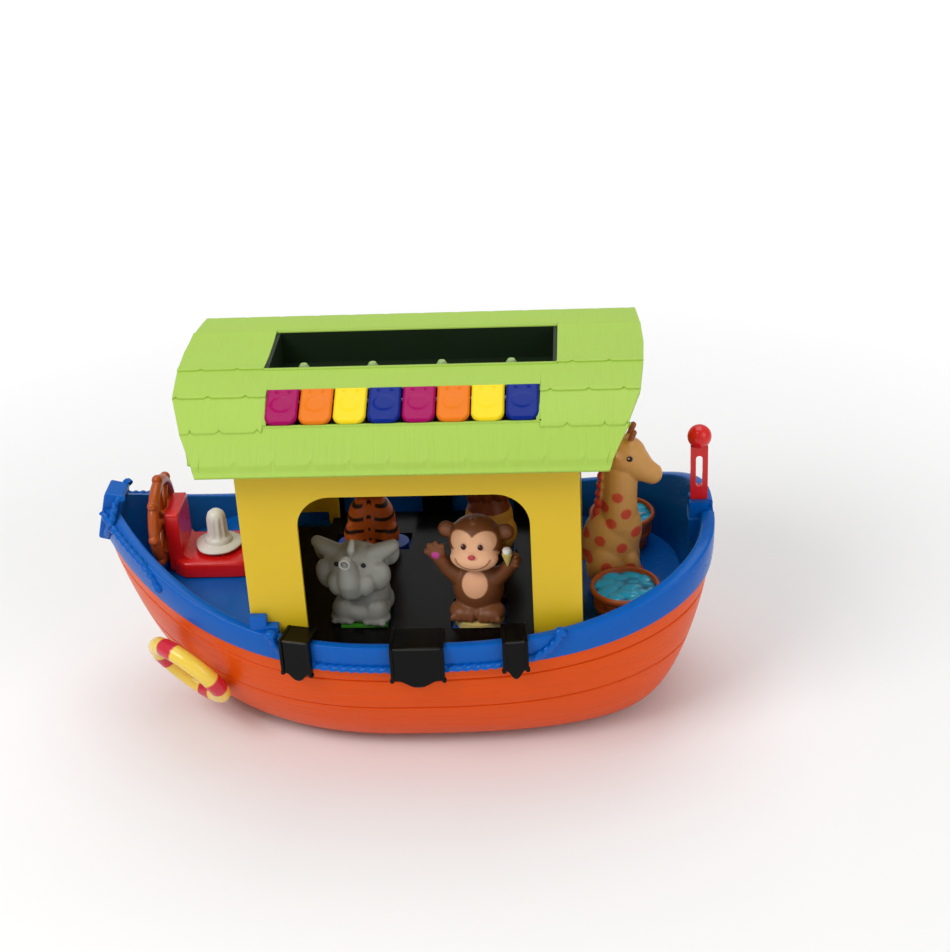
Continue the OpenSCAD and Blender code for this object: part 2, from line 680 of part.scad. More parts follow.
module speaker() {
    color([0.12, 0.12, 0.13]) translate([-30, 0, deck_h - deck_t]) rotate_extrude() polygon(
        [[0, -18], [13, -18], [13, -11], [17, -10], [24, -2.5], [26, -2.5], [26, 0], [0, 0]]);
}

// Animal figures: each stands on a base whose outline differs from the others
module place(spot, z) {
    translate([spot[0], spot[1], z]) children();
}
module base_plate(spot, c) {
    color(c) place(spot, deck_h) linear_extrude(base_h) children();
}
module elephant_base() {
    base_plate(figures[0], [0.20, 0.55, 0.15]) translate([-14, -13]) square([28, 26]);
}
module elephant_body() {
    color([0.30, 0.30, 0.28]) place(figures[0], deck_h + base_h) {
        rotate_extrude() polygon([[0, 0], [15, 0], [16.2, 4], [15.5, 14], [12, 26], [0, 30]]);
        for (s = [-1, 1]) {
            translate([s * 8, -7.5, 0]) cylinder(r = 7, h = 12);
            translate([s * 18, 1, 42]) rotate([78, 0, s * 25]) cylinder(r = 9.5, h = 4);
        }
        translate([0, -2.5, 37]) sphere(r = 15);
        translate([0, -11, 30]) sphere(r = 8);
        translate([-1, -14.5, 33]) rotate([10, 0, 0]) cylinder(r = 4.2, h = 10);
        translate([0, -1, 48]) cylinder(r1 = 4, r2 = 1.5, h = 10.5);
    }
}
module monkey_base() {
    base_plate(figures[1], [0.80, 0.72, 0.35]) circle(r = 15);
}
module monkey_body() {
    color([0.22, 0.10, 0.05]) place(figures[1], deck_h + base_h) {
        rotate_extrude() polygon([[0, 0], [14, 0], [15.5, 3], [15.5, 8], [14, 20], [10.5, 34], [0, 38]]);
        translate([0, 0, 50]) sphere(r = 16.5);
        translate([0, -9, 44]) sphere(r = 9.5);
        for (s = [-1, 1]) {
            translate([s * 17, 1, 52]) rotate([90, 0, 0]) cylinder(r = 6, h = 4);
            translate([s * 6.5, -10, 0]) cylinder(r = 5, h = 5);
            translate([s * 9, -2, 27]) rotate([0, s * 52, 0]) cylinder(r = 4.2, h = 16);
            translate([s * 22, -3, 38]) sphere(r = 5.8);
        }
        translate([0, 0, 62]) cylinder(r1 = 4, r2 = 1.5, h = 7);
    }
}
module giraffe_base() {
    base_plate(giraffe_spot, [0.60, 0.06, 0.05]) translate([-16, -11]) square([32, 22]);
}
module giraffe_body() {
    color([0.62, 0.34, 0.12]) place(giraffe_spot, deck_h + base_h) {
        rotate_extrude() polygon([[0, 0], [14, 0], [15.5, 4], [16, 18], [14, 32], [9, 45], [0, 50]]);
        translate([1, 0, 34]) rotate([0, 3, 0]) cylinder(r1 = 11.5, r2 = 10, h = 50);
        translate([6, 0, 85]) sphere(r = 12);
        translate([9, 0, 83]) rotate([0, 110, 0]) cylinder(r1 = 9.5, r2 = 6.5, h = 14);
        translate([21.5, 0, 77.5]) sphere(r = 6.5);
        for (s = [-1, 1]) translate([7, s * 6, 92]) rotate([-s * 14, 10, 0])
            cylinder(r1 = 3.4, r2 = 1.8, h = 15);
        translate([-7, 0, 75]) sphere(r = 4);
        translate([-7.5, 0, 63]) sphere(r = 4);
    }
}
module tiger_base() {
    base_plate(figures[2], [0.06, 0.18, 0.55]) {
        translate([-14, -9]) square([28, 18]);
        for (s = [-1, 1]) translate([s * 14, 0]) circle(r = 9 - 0.01);
    }
}
module big_cat() {
    rotate_extrude() polygon([[0, 0], [15, 0], [16.5, 4], [15.5, 16], [12, 30], [0, 34]]);
    for (s = [-1, 1]) {
        translate([s * 8, 8, 0]) cylinder(r = 6.5, h = 14);
        translate([s * 11, 0, 58]) rotate([90, 0, 0]) translate([0, 0, -2.5]) cylinder(r = 5.5, h = 5);
    }
    translate([0, 2, 46]) sphere(r = 16);
    translate([0, 13, 41]) sphere(r = 8.5);
}
module tiger_body() {
    color([0.72, 0.24, 0.03]) place(figures[2], deck_h + base_h) big_cat();
}
module lion_base() {
    base_plate(figures[3], [0.85, 0.50, 0.04]) {
        circle(r = 15, $fn = 6);
    }
}
module lion_body() {
    color([0.72, 0.45, 0.06]) place(figures[3], deck_h + base_h) {
        big_cat();
        translate([0, 0, 46]) rotate([90, 0, 0]) translate([0, 0, -6]) cylinder(r = 19.5, h = 13);
    }
}

hull_shell();
deck();
cabin();
roof_shell();
roof_ceiling();
recess_liner();
helm_console();
steering_wheel();
steering_shaft();
seat_button();
lever_bracket();
lever_pin();
stern_lever();
life_ring_port();
life_ring_starboard();
tub_port();
tub_starboard();
tub_water();
figure_tray();
key(0);  // key_1
key(1);  // key_2
key(2);  // key_3
key(3);  // key_4
key(4);  // key_5
key(5);  // key_6
key(6);  // key_7
key(7);  // key_8
key_rod();
key_frame();
plunger(0);  // plunger_1
plunger(1);  // plunger_2
plunger(2);  // plunger_3
plunger(3);  // plunger_4
circuit_board();
switch_mat();
speaker();
axle_fore();
axle_aft();
wheels_fore();
wheels_aft();
axle_bracket_fore();
axle_bracket_aft();
bracket_screws();
battery_box();
battery_door();
door_screw();
battery_cells();
battery_contacts();
power_switch();
elephant_body();
elephant_base();
monkey_body();
monkey_base();
giraffe_body();
giraffe_base();
tiger_body();
tiger_base();
lion_body();
lion_base();
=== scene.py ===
# %% [markdown]
# # A toy ark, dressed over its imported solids
# The toy is a push-along ark in bright moulded plastic: a planked hull, a blue deck and rim, a yellow
# cabin, a green shingled roof with press keys, and soft vinyl animals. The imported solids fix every
# size and joint. This lesson gives them their finish, and replaces those whose moulded relief is
# finer than the solids: hull, deck and ropes, console and seat, tray, roof, keys, rings, tubs and
# animals.
# %% Load the frame
import json
import math

import bpy
import numpy as np
from mathutils import Matrix


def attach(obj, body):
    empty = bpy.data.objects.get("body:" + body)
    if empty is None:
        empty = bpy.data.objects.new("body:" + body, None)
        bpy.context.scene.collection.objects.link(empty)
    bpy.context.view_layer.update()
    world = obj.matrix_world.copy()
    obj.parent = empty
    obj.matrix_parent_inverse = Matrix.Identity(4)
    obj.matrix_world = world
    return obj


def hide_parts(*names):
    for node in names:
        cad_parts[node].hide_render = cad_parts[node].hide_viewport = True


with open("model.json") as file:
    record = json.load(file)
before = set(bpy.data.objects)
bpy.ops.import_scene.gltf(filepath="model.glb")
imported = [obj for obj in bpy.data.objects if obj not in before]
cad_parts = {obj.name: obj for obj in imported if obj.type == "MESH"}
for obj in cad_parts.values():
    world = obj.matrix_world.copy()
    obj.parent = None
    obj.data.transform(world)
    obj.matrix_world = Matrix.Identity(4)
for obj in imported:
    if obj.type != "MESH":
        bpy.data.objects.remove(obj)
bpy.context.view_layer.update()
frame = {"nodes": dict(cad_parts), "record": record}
nodes = frame["nodes"]
scene = bpy.context.scene
scene.view_settings.view_transform = "Standard"
MM = 0.001
SIDES = ((-1, "port"), (1, "starboard"))
print("nodes in the frame:", len(nodes))

# %% [markdown]
# ## Surfaces from arrays
# Every new piece is a grid of points worked out as whole arrays. A grid that closes on itself makes
# a tube or a ball; a grid with a second layer and a wall between makes a plate. These helpers turn
# such grids into faces, so each later step only has to say where its points are.
# %% Grid helpers
def circle(n):
    """Angles of n even steps round a circle."""
    return np.arange(n) * 2 * np.pi / n


def xyz(x, y, z):
    """Coordinates of matching shapes as one array of points."""
    return np.stack(np.broadcast_arrays(x, y, z), -1)


def grid_faces(rows, cols, wrap_rows=False, wrap_cols=False, start=0):
    """Quads of a grid: each point joined to the next along its row and its column."""
    r = np.arange(rows if wrap_rows else rows - 1)
    c = np.arange(cols if wrap_cols else cols - 1)
    r, c = np.meshgrid(r, c, indexing="ij")
    r2, c2 = (r + 1) % rows, (c + 1) % cols
    quads = np.stack([r * cols + c, r * cols + c2, r2 * cols + c2, r2 * cols + c], -1)
    return (quads.reshape(-1, 4) + start).tolist()


def squared(w, e):
    """A sine or cosine pushed out towards one, keeping its sign, so that a circle turns squarish."""
    return np.sign(w) * np.abs(w) ** e


def used_only(pts, faces):
    """The points that the faces use, and the faces numbered by them."""
    used, new = np.unique(faces, return_inverse=True)
    return pts[used], new.reshape(faces.shape).tolist()


def fan(ring, hub, flip=False):
    """Triangles from a closed ring of point numbers to one hub point."""
    nxt = np.roll(ring, -1)
    tri = np.stack([ring, nxt, np.full(len(ring), hub)], -1)
    return (tri[:, ::-1] if flip else tri).tolist()


def closed_tube(p):
    """A tube whose columns close round it and whose two ends are closed by a fan to their middle."""
    rows, cols = p.shape[:2]
    pts = np.vstack([p.reshape(-1, 3), p[0].mean(0)[None], p[-1].mean(0)[None]])
    n = rows * cols
    faces = grid_faces(rows, cols, wrap_cols=True)
    faces += fan(np.arange(cols), n, flip=True)
    faces += fan(np.arange(n - cols, n), n + 1)
    return pts, faces


def thick_sheet(top, under):
    """Two layers of one grid, the under layer turned over, with a wall round the edge."""
    rows, cols = top.shape[:2]
    n = rows * cols
    pts = np.vstack([top.reshape(-1, 3), under.reshape(-1, 3)])
    faces = grid_faces(rows, cols)
    faces += [q[::-1] for q in grid_faces(rows, cols, start=n)]
    i = np.arange(n).reshape(rows, cols)
    edge = np.concatenate([i[0, :-1], i[:-1, -1], i[-1, :0:-1], i[:0:-1, 0]])
    nxt = np.roll(edge, -1)
    faces += np.stack([nxt, edge, edge + n, nxt + n], -1).tolist()
    return pts, faces


def join(shapes):
    """Several point-and-face sets as one."""
    pts, faces, start = [], [], 0
    for p, f in shapes:
        pts.append(p)
        faces += [[k + start for k in face] for face in f]
        start += len(p)
    return np.vstack(pts), faces

# %% [markdown]
# ## Moulded plastic as a shader group
# Injection-moulded plastic is never one flat value: the pigment streaks a little, the gloss changes
# where the mould was polished, and a fine texture breaks up the highlight. One group works these out
# from Object coordinates; each material sets its own colour and amounts.
# %% Shader helpers
def new_group(name, inputs, outputs):
    """An empty shader group with named sockets; returns the group and its two end nodes."""
    group = bpy.data.node_groups.new(name, "ShaderNodeTree")
    for label, kind, value in inputs:
        socket = group.interface.new_socket(label, in_out="INPUT", socket_type=kind)
        socket.default_value = value
    for label, kind in outputs:
        group.interface.new_socket(label, in_out="OUTPUT", socket_type=kind)
    return group, group.nodes.new("NodeGroupInput"), group.nodes.new("NodeGroupOutput")


def feed(tree, node, inputs):
    """Set a node's inputs, by number or name, from plain values or from the sockets of other nodes."""
    for key, value in inputs.items():
        if isinstance(value, bpy.types.NodeSocket):
            tree.links.new(value, node.inputs[key])
        else:
            node.inputs[key].default_value = value


def add_node(tree, kind, *inputs, **named):
    """A node with its properties set by name, and its inputs by order or by name."""
    node = tree.nodes.new(kind)
    for key in [k for k in named if hasattr(node, k)]:
        setattr(node, key, named.pop(key))
    feed(tree, node, dict(enumerate(inputs)) | named)
    return node


FLOAT, COLOR, VECTOR = "NodeSocketFloat", "NodeSocketColor", "NodeSocketVector"


def moulded_group():
    """Colour times a slow noise, gloss plus a slow noise, and a bump from a fine noise."""
    inputs = [("Color", COLOR, (1, 1, 1, 1)), ("Streak", FLOAT, 0.06), ("Gloss", FLOAT, 0.3),
              ("Grit", FLOAT, 0.03), ("Stretch", VECTOR, (1, 1, 1))]
    g, i, o = new_group("moulded", inputs, [("Color", COLOR), ("Roughness", FLOAT), ("Normal", VECTOR)])
    given = i.outputs
    where = add_node(g, "ShaderNodeTexCoord").outputs["Object"]
    drawn = add_node(g, "ShaderNodeVectorMath", where, given["Stretch"], operation="MULTIPLY").outputs[0]
    slow = add_node(g, "ShaderNodeTexNoise", Vector=drawn, Scale=28.0, Detail=4.0, Roughness=0.6)
    fine = add_node(g, "ShaderNodeTexNoise", Vector=where, Scale=900.0, Detail=2.0)
    level = add_node(g, "ShaderNodeMath", slow.outputs["Fac"], 0.5, operation="SUBTRACT").outputs[0]
    amount = add_node(g, "ShaderNodeMath", level, given["Streak"], 1.0, operation="MULTIPLY_ADD")
    tint = add_node(g, "ShaderNodeVectorMath", given["Color"], Scale=amount.outputs[0], operation="SCALE")
    rough = add_node(g, "ShaderNodeMath", level, 0.18, given["Gloss"], operation="MULTIPLY_ADD")
    bump = add_node(g, "ShaderNodeBump", Distance=0.0004, Strength=given["Grit"], Height=fine.outputs["Fac"])
    feed(g, o, {"Color": tint.outputs[0], "Roughness": rough.outputs[0], "Normal": bump.outputs[0]})
    return g


MOULDED = moulded_group()
print("group:", MOULDED.name)

# %% [markdown]
# ## Wood grain pressed into plastic
# The planks and shingles carry a moulded wood grain: long thin lines that run one way. A noise that
# is squeezed across the grain and stretched along it gives such lines; as a height it catches light.
# %% Grain group
def grain_group():
    """Height of stretched noise lines: noise of coordinates times a scale for each axis, sharpened."""
    inputs = [("Scale", VECTOR, (300, 30, 30)), ("Depth", FLOAT, 0.5), ("Normal", VECTOR, (0, 0, 0))]
    g, i, o = new_group("pressed_grain", inputs, [("Normal", VECTOR)])
    given = i.outputs
    where = add_node(g, "ShaderNodeTexCoord").outputs["Object"]
    drawn = add_node(g, "ShaderNodeVectorMath", where, given["Scale"], operation="MULTIPLY").outputs[0]
    noise = add_node(g, "ShaderNodeTexNoise", Vector=drawn, Scale=1.0, Detail=3.0, Roughness=0.55,
                     Distortion=0.4).outputs["Fac"]
    low, high = 0.36, 0.5
    line = add_node(g, "ShaderNodeMapRange", noise, low, high, interpolation_type="SMOOTHSTEP")
    bump = add_node(g, "ShaderNodeBump", Distance=0.0006, Strength=given["Depth"], Height=line.outputs[0],
                    Normal=given["Normal"])
    feed(g, o, {"Normal": bump.outputs[0]})
    return g


GRAIN = grain_group()
FINISH = {}


def linear(screen):
    """Screen values 0 to 255 as linear light."""
    c = np.asarray(screen, float) / 255
    return np.where(c <= 0.04045, c / 12.92, ((c + 0.055) / 1.055) ** 2.4)


def plastic(name, rgb, gloss=0.3, streak=0.08, grit=0.04, stretch=(1, 1, 1), coat=0.0, grain=None, depth=0.5,
            paint=None, soft=0.0, shine=0.35):
    """A finish on the moulded group, with grain or a painted attribute when asked, kept by its name."""
    material = bpy.data.materials.new(name)
    material.use_nodes = True
    tree = material.node_tree
    colour = (*linear(rgb).tolist(), 1.0)
    if paint:
        colour = add_node(tree, "ShaderNodeAttribute", attribute_name=paint).outputs["Color"]
    skin = add_node(tree, "ShaderNodeGroup", node_tree=MOULDED, Color=colour, Streak=streak, Gloss=gloss,
                    Grit=grit, Stretch=stretch)
    normal = skin.outputs["Normal"]
    if grain:
        lines = add_node(tree, "ShaderNodeGroup", node_tree=GRAIN, Scale=grain, Depth=depth, Normal=normal)
        normal = lines.outputs["Normal"]
    feed(tree, tree.nodes["Principled BSDF"], {
        "Base Color": skin.outputs["Color"], "Roughness": skin.outputs["Roughness"], "Normal": normal,
        "Coat Weight": coat, "Specular IOR Level": shine, "Subsurface Weight": soft,
        "Subsurface Radius": (0.004, 0.002, 0.001)})
    FINISH[name] = material
    return material

# %% [markdown]
# ## One finish for each moulding
# The colours were read off the photograph and set as linear light. The hull, deck, keys and tray have
# a weak reflection so their colours stay deep; the animals are soft vinyl with a duller skin. The
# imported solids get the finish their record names, and new pieces are put in with theirs.
# %% Finishes
plastic("hull_orange", (224, 80, 5), 0.34, 0.16, 0.05, (0.5, 2, 6), grain=(16, 40, 330), depth=0.3,
        shine=0.16)
plastic("deck_blue", (4, 90, 180), 0.26, 0.08, 0.04, coat=0.06, shine=0.14)
plastic("cabin_yellow", (217, 182, 29), 0.38, 0.06, 0.05)
plastic("roof_green", (158, 191, 74), 0.5, 0.07, 0.06, grain=(420, 26, 26), depth=0.22)
plastic("dark_green", (18, 34, 12), 0.5)
plastic("pale_green", (150, 178, 110), 0.4)
plastic("helm_red", (216, 22, 20), 0.26, 0.08, 0.03, coat=0.2)
plastic("wheel_brown", (172, 74, 14), 0.32, 0.16, 0.05, (1, 4, 4), coat=0.15)
plastic("peg_white", (226, 222, 214), 0.3, 0.04)
plastic("tub_brown", (166, 78, 30), 0.4, 0.2, 0.06, (6, 6, 0.6))
plastic("black", (5, 6, 6), 0.22, 0.1, 0.03, shine=0.13)
plastic("lip_black", (8, 8, 9), 0.16, 0.1, 0.03, shine=0.5)
KEYS_RGB = {"magenta": (156, 6, 86), "orange": (222, 116, 22), "yellow": (236, 206, 32),
            "blue": (6, 36, 124)}
for hue, rgb in KEYS_RGB.items():
    plastic("key_" + hue, rgb, 0.2, 0.06, 0.02, coat=0.03, shine=0.1)
plastic("mat_rubber", (190, 190, 184), 0.6)
plastic("board", (22, 92, 48), 0.4)
plastic("cell_dark", (46, 50, 56), 0.3, coat=0.4)
plastic("tyre_black", (24, 24, 24), 0.55, 0.15, 0.12)
plastic("base_cream", (222, 196, 120), 0.4)
BASES_RGB = {"green": (62, 140, 36), "red": (190, 36, 28), "blue": (30, 80, 180), "amber": (240, 160, 30)}
for hue, rgb in BASES_RGB.items():
    plastic("base_" + hue, rgb, 0.3)
plastic("ring_yellow", (240, 205, 75), 0.26, 0.06, 0.03, coat=0.3, paint="paint")
plastic("water_teal", (24, 140, 165), 0.12, 0.12, 0.02, coat=0.35, paint="paint")
VINYL = {"gloss": 0.42, "paint": "paint", "soft": 0.05}
plastic("elephant_grey", (138, 138, 132), streak=0.12, grit=0.08, **VINYL)
plastic("monkey_brown", (108, 64, 38), streak=0.12, grit=0.08, **VINYL)
plastic("giraffe_tan", (208, 150, 82), streak=0.1, grit=0.06, **VINYL)
plastic("tiger_orange", (214, 104, 34), streak=0.1, grit=0.06, **VINYL)
plastic("lion_gold", (218, 160, 56), streak=0.1, grit=0.06, **VINYL)
steel = plastic("steel", (198, 198, 202), 0.32, 0.1, 0.05, (1, 20, 20))
feed(steel.node_tree, steel.node_tree.nodes["Principled BSDF"], {"Metallic": 1.0})

for entry in frame["record"]["subparts"]:
    slots = nodes[entry["node"]].data.materials
    slots.clear()
    slots.append(FINISH[entry["material_slot"]])
print("finishes:", len(FINISH))


def put(name, shape, body, slot, stands_for=(), sharp=40, finish=None):
    """One finished mesh from points in millimetres, riding on a body, smooth below an angle."""
    pts, faces = shape
    mesh = bpy.data.meshes.new(name)
    mesh.from_pydata((np.asarray(pts) * MM).tolist(), [], faces)
    mesh.update()
    mesh.shade_smooth()
    mesh.set_sharp_from_angle(angle=math.radians(sharp))
    mesh.materials.append(FINISH[finish or slot])
    piece = bpy.data.objects.new(name, mesh)
    scene.collection.objects.link(piece)
    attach(piece, body)
    if stands_for:
        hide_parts(*stands_for)
    print(name, "points:", len(pts), "faces:", len(faces))
    return piece

# %% [markdown]
# ## The planked hull
# The hull is a loft: every level is the same plan curve, drawn in towards the bottom and lifted at
# the ends by the sheer. The solids use 72 points a level; here the same formula has many more, and
# two plank seams are pressed in. The bottom sits a hair above the cover so the cover shows.
# %% Hull
HALF_LEN, HALF_BEAM, RIM, FOOT = 190.0, 100.0, 90.0, 6.0
SHEER_FORE, SHEER_AFT = 50, 35
DRAW_FORE, DRAW_AFT, DRAW_SIDE = 58, 40, 34


def plan(s, bow):
    """Half breadth as a share of the beam: a pointed power curve at the bow, a fuller one aft."""
    at_bow = np.clip(1 - s ** 2.25, 0, 1) ** 0.85
    at_stern = np.clip(1 - s ** 2.6, 0, 1) ** 0.33
    return np.where(bow, at_bow, at_stern)


def level_ring(a, lb, ls, b, z, zb, zs):
    """Points of one level: lengths by the cosine of the angle, breadth by the plan, rise by its cube."""
    c = np.cos(a)
    s, bow = np.abs(c), c > 0
    side = np.where(a <= np.pi, -1.0, 1.0)
    x = np.where(bow, -lb * s, ls * s)
    return np.stack([x, side * b * plan(s, bow), z + np.where(bow, zb, zs) * s ** 3], -1)


def drawn_in(t):
    """Half lengths fore and aft and half breadth of level t: the full sizes less a curve of the level."""
    k = (1 - t ** 0.62) ** 1.35
    return HALF_LEN - DRAW_FORE * k, HALF_LEN - DRAW_AFT * k, HALF_BEAM - DRAW_SIDE * k


def hull_ring(a, t, d=0.0, dz=0.0):
    """Hull level t from 0 at the bottom to 1 at the rim, d inside the outer face."""
    fore, aft, half = drawn_in(t)
    z, lift = FOOT + (RIM - FOOT) * t + dz, t ** 0.85
    return level_ring(a, fore - 1.4 * d, aft - 1.2 * d, half - d, z, SHEER_FORE * lift, SHEER_AFT * lift)


NOTCH = np.array([-0.0158, -0.0143, 0.0143, 0.0158])
around = np.sort(np.append(circle(240), np.pi + NOTCH))
JOINT, SEAMS = 0.804, (0.405, 0.69)


def hull():
    """Rings from bottom to joint line with two seams sunk by a narrow bell, then back down inside."""
    close = np.linspace(-0.016, 0.016, 9)
    t = np.unique(np.concatenate([np.linspace(0, 1, 40) ** 1.5 * JOINT] + [s + close for s in SEAMS]))
    seam = 1.3 * sum(np.exp(-((t - s) / 0.006) ** 2) for s in SEAMS)
    outer = [hull_ring(around, v, d, 0.35 if v == 0 else 0.0) for v, d in zip(t, seam)]
    inner = [hull_ring(around, v, 2.5, 2.5 if v < 0.05 else 0.0) for v in (JOINT, 0.6, 0.4, 0.2, 0.1, 0.0)]
    return closed_tube(np.array(outer + inner))


put("planked_hull", hull(), "ark", "hull_orange", ["hull_shell"], 60)

# %% [markdown]
# ## The blue deck and its rim
# The deck is a tub that drops into the hull: a band outside, a rounded rim, a bulwark inside and a
# flat floor. It uses the same level formula with its own insets, so it meets the hull at the joint.
# The stem is cut off along a leaning plane, and the rim is notched aft where the lever's foot stands.
# The raised foredeck, the stepped blocks by the fore posts and the stern post are added plates.
# %% Deck
DECK, FOREDECK = 73.0, 91.0
LEAN, STEM_FOOT = math.radians(14.5), 114.0


def deck():
    """Levels from under the floor, up the band, over a half-round rim and down the bulwark."""
    roll = []
    for v in np.linspace(0, np.pi, 11):
        c, z = math.cos(v), RIM - 1.5 + 1.5 * math.sin(v) ** 0.7
        fore, aft, half = HALF_LEN - 5 + 5 * c, HALF_LEN - 4 + 4 * c, HALF_BEAM - 3 + 3 * c
        roll.append(level_ring(around, fore, aft, half, z, SHEER_FORE, SHEER_AFT))
    rows = [level_ring(around, HALF_LEN - 24, HALF_LEN - 16, HALF_BEAM - 7, DECK - 3.2, 0, 0),
            hull_ring(around, JOINT - 0.01, 3.0), hull_ring(around, JOINT + 0.003, 3.0),
            hull_ring(around, JOINT + 0.003, -0.2), hull_ring(around, JOINT + 0.008, -0.9),
            hull_ring(around, 0.86, -0.9), hull_ring(around, 0.92, -0.5)]
    rows += roll
    low, top = level_ring(around, HALF_LEN - 28, HALF_LEN - 19, HALF_BEAM - 8.5, DECK, 0, 0), roll[-1]
    rows += [top + (low - top) * v for v in (0.12, 0.3, 0.5, 0.7, 0.85, 0.95, 1.0)]
    p = np.array(rows)
    p[..., 0] = np.maximum(p[..., 0], -HALF_LEN + (p[..., 2] - STEM_FOOT) * math.tan(LEAN))
    aft = np.abs(around - np.pi) < 0.015
    p[:, aft, 2] = np.minimum(p[:, aft, 2], 120)
    return closed_tube(p)


put("deck_tub", deck(), "ark", "deck_blue", ["deck"], 50)


def foredeck():
    """Two flat layers whose half breadth follows the plan curve of the bulwark."""
    x = np.linspace(-171, -85.3, 50)[None]
    v = np.linspace(-1, 1, 21)[:, None]
    y = 98 * plan(-x / 172, True) * v
    top = xyz(x, y, FOREDECK)
    return thick_sheet(top, top - [0, 0, 5])


put("foredeck", foredeck(), "ark", "deck_blue")


def pillow(lo, hi, e=0.18, rows=25, cols=48):
    """A block with soft edges: signed powers of the sines and cosines of latitude and longitude."""
    lo, hi = np.array(lo, float), np.array(hi, float)
    f = np.linspace(-np.pi / 2, np.pi / 2, rows)[1:-1, None]
    a = circle(cols)[None]
    out, z = squared(np.cos(f), e), squared(np.sin(f), e)
    pts, faces = closed_tube(xyz(out * squared(np.cos(a), e), out * squared(np.sin(a), e), z))
    pts[-2:] = [[0, 0, -1], [0, 0, 1]]
    return pts * (hi - lo) / 2 + (hi + lo) / 2, faces


def side_block(side, x0, x1, y1, z1):
    """A block from the cabin wall out to y1 on one side."""
    ys = sorted((side * 80.3, side * y1))
    return pillow((x0, ys[0], 84), (x1, ys[1], z1), 0.12)


blocks = [side_block(s, -85, -75, 85.2, 103) for s in (-1, 1)]
blocks += [side_block(s, -75.4, -68.5, 86.8, 97) for s in (-1, 1)]
blocks += [pillow((174, -8, 104), (187.5, 8, 120), 0.12)]
put("deck_blocks", join(blocks), "ark", "deck_blue")

# %% [markdown]
# ## Moulded ropes
# A rope is a round profile carried along a path. Its strands are a ripple on the radius that turns
# with the distance along the path, which reads as twist. One rope hangs along the band each side
# between two knobs, another runs back from the lashed bow post.
# %% Ropes
ROPE_SIDES, STRANDS, STRAND_DEPTH = 14, 2, 0.17


def run_of(path):
    """Distance along a path at each of its points."""
    return np.concatenate([[0], np.cumsum(np.linalg.norm(np.diff(path, axis=0), axis=1))])


def resample(path, step):
    """The same path with points at even distances."""
    run = run_of(path)
    at = np.linspace(0, run[-1], int(run[-1] / step) + 2)
    return np.stack([np.interp(at, run, path[:, k]) for k in range(3)], -1)


def rope(path, radius, pitch=5.6):
    """A tube: a circle in the plane across the path, rippled by strands that turn once a pitch."""
    path = resample(path, 0.6)
    along = np.gradient(path, axis=0)
    along /= np.linalg.norm(along, axis=1)[:, None]
    up = np.where(np.abs(along[:, 2:]) > 0.95, [[1.0, 0, 0]], [[0, 0, 1.0]])
    across = np.cross(along, up)
    across /= np.linalg.norm(across, axis=1)[:, None]
    over = np.cross(across, along)
    a = circle(ROPE_SIDES)
    twist = 2 * np.pi * run_of(path)[:, None] / pitch
    r = radius * (1 + STRAND_DEPTH * np.cos(STRANDS * a[None] - twist))
    ring = np.cos(a)[None, :, None] * across[:, None] + np.sin(a)[None, :, None] * over[:, None]
    p = path[:, None] + r[..., None] * ring
    return closed_tube(p[:, ::-1])


def band_point(x, t, d, side):
    """A point of the hull or band at a station and level, d outside its face."""
    fore, aft, half = drawn_in(t)
    bow = x < 0
    s = np.clip(np.abs(x) / (np.where(bow, fore, aft) + d), 0, 1)
    z = FOOT + (RIM - FOOT) * t + np.where(bow, SHEER_FORE, SHEER_AFT) * t ** 0.85 * s ** 3
    return np.stack([x, side * (half + d) * plan(s, bow), z], -1)


SWAG = (-72.5, 96.5)


def swag(side):
    """Level falls from a knob by the fore post, runs low along the band, and rises to the aft knob."""
    x = np.linspace(SWAG[0], SWAG[1], 300)
    dip = 1 - np.exp(-((x - SWAG[0]) / 7.0)) - np.exp((x - SWAG[1]) / 9.0)
    return rope(band_point(x, 1.0 - 0.177 * np.clip(dip, 0, 1), 1.7, side), 2.1)


def bow_line(side):
    """Runs along the outer edge of the rim from the bow post and turns down the band at its end."""
    x = np.linspace(-184, -146, 160)
    fall = np.clip((x + 157) / 11, 0, 1) ** 2
    return rope(band_point(x, 0.992 - 0.085 * fall, 0.8, side), 2.2)


def ball(centre, radii, rows=19, cols=28):
    """An ellipsoid by latitude and longitude with closed poles."""
    f = np.linspace(-np.pi / 2, np.pi / 2, rows)[1:-1, None]
    a = circle(cols)[None]
    pts, faces = closed_tube(xyz(np.cos(f) * np.cos(a), np.cos(f) * np.sin(a), np.sin(f)))
    pts[-2:] = [[0, 0, -1], [0, 0, 1]]
    return pts * np.array(radii) + np.array(centre), faces


ropes = [swag(-1), swag(1), bow_line(-1), bow_line(1)]
for x in SWAG:
    ropes += [ball(band_point(np.array(x), 1.0, 0.6, s) + [0, 0, 1.2], (3.6, 3.2, 3.4)) for s in (-1, 1)]
ropes += [ball(band_point(np.array(-145.6), 0.905, 1.0, s), (3.0, 2.6, 3.0)) for s in (-1, 1)]
put("moulded_ropes", join(ropes), "ark", "deck_blue")


def bow_post():
    """A soft-edged block built upright and leaned with the stem, and a rope from its top down each side."""
    pts, faces = pillow((-0.4, -10, 0.6), (12, 10, 33.4), 0.16)
    x, y, z = pts.T
    c, s = math.cos(LEAN), math.sin(LEAN)
    parts = [(np.stack([c * x + s * z - HALF_LEN, y, c * z - s * x + STEM_FOOT], -1), faces)]
    for side in (-1, 1):
        head = np.array([[-170.5, side * 9.5, 142.5], [-172, side * 10.5, 143.2], [-175, side * 11.5, 140]])
        fall = band_point(np.linspace(-177.5, -185, 12), np.linspace(1.0, 0.83, 12), 1.6, side)
        parts.append(rope(np.vstack([head, fall]), 2.3, 5.4))
    return join(parts)


put("bow_post", bow_post(), "ark", "deck_blue")

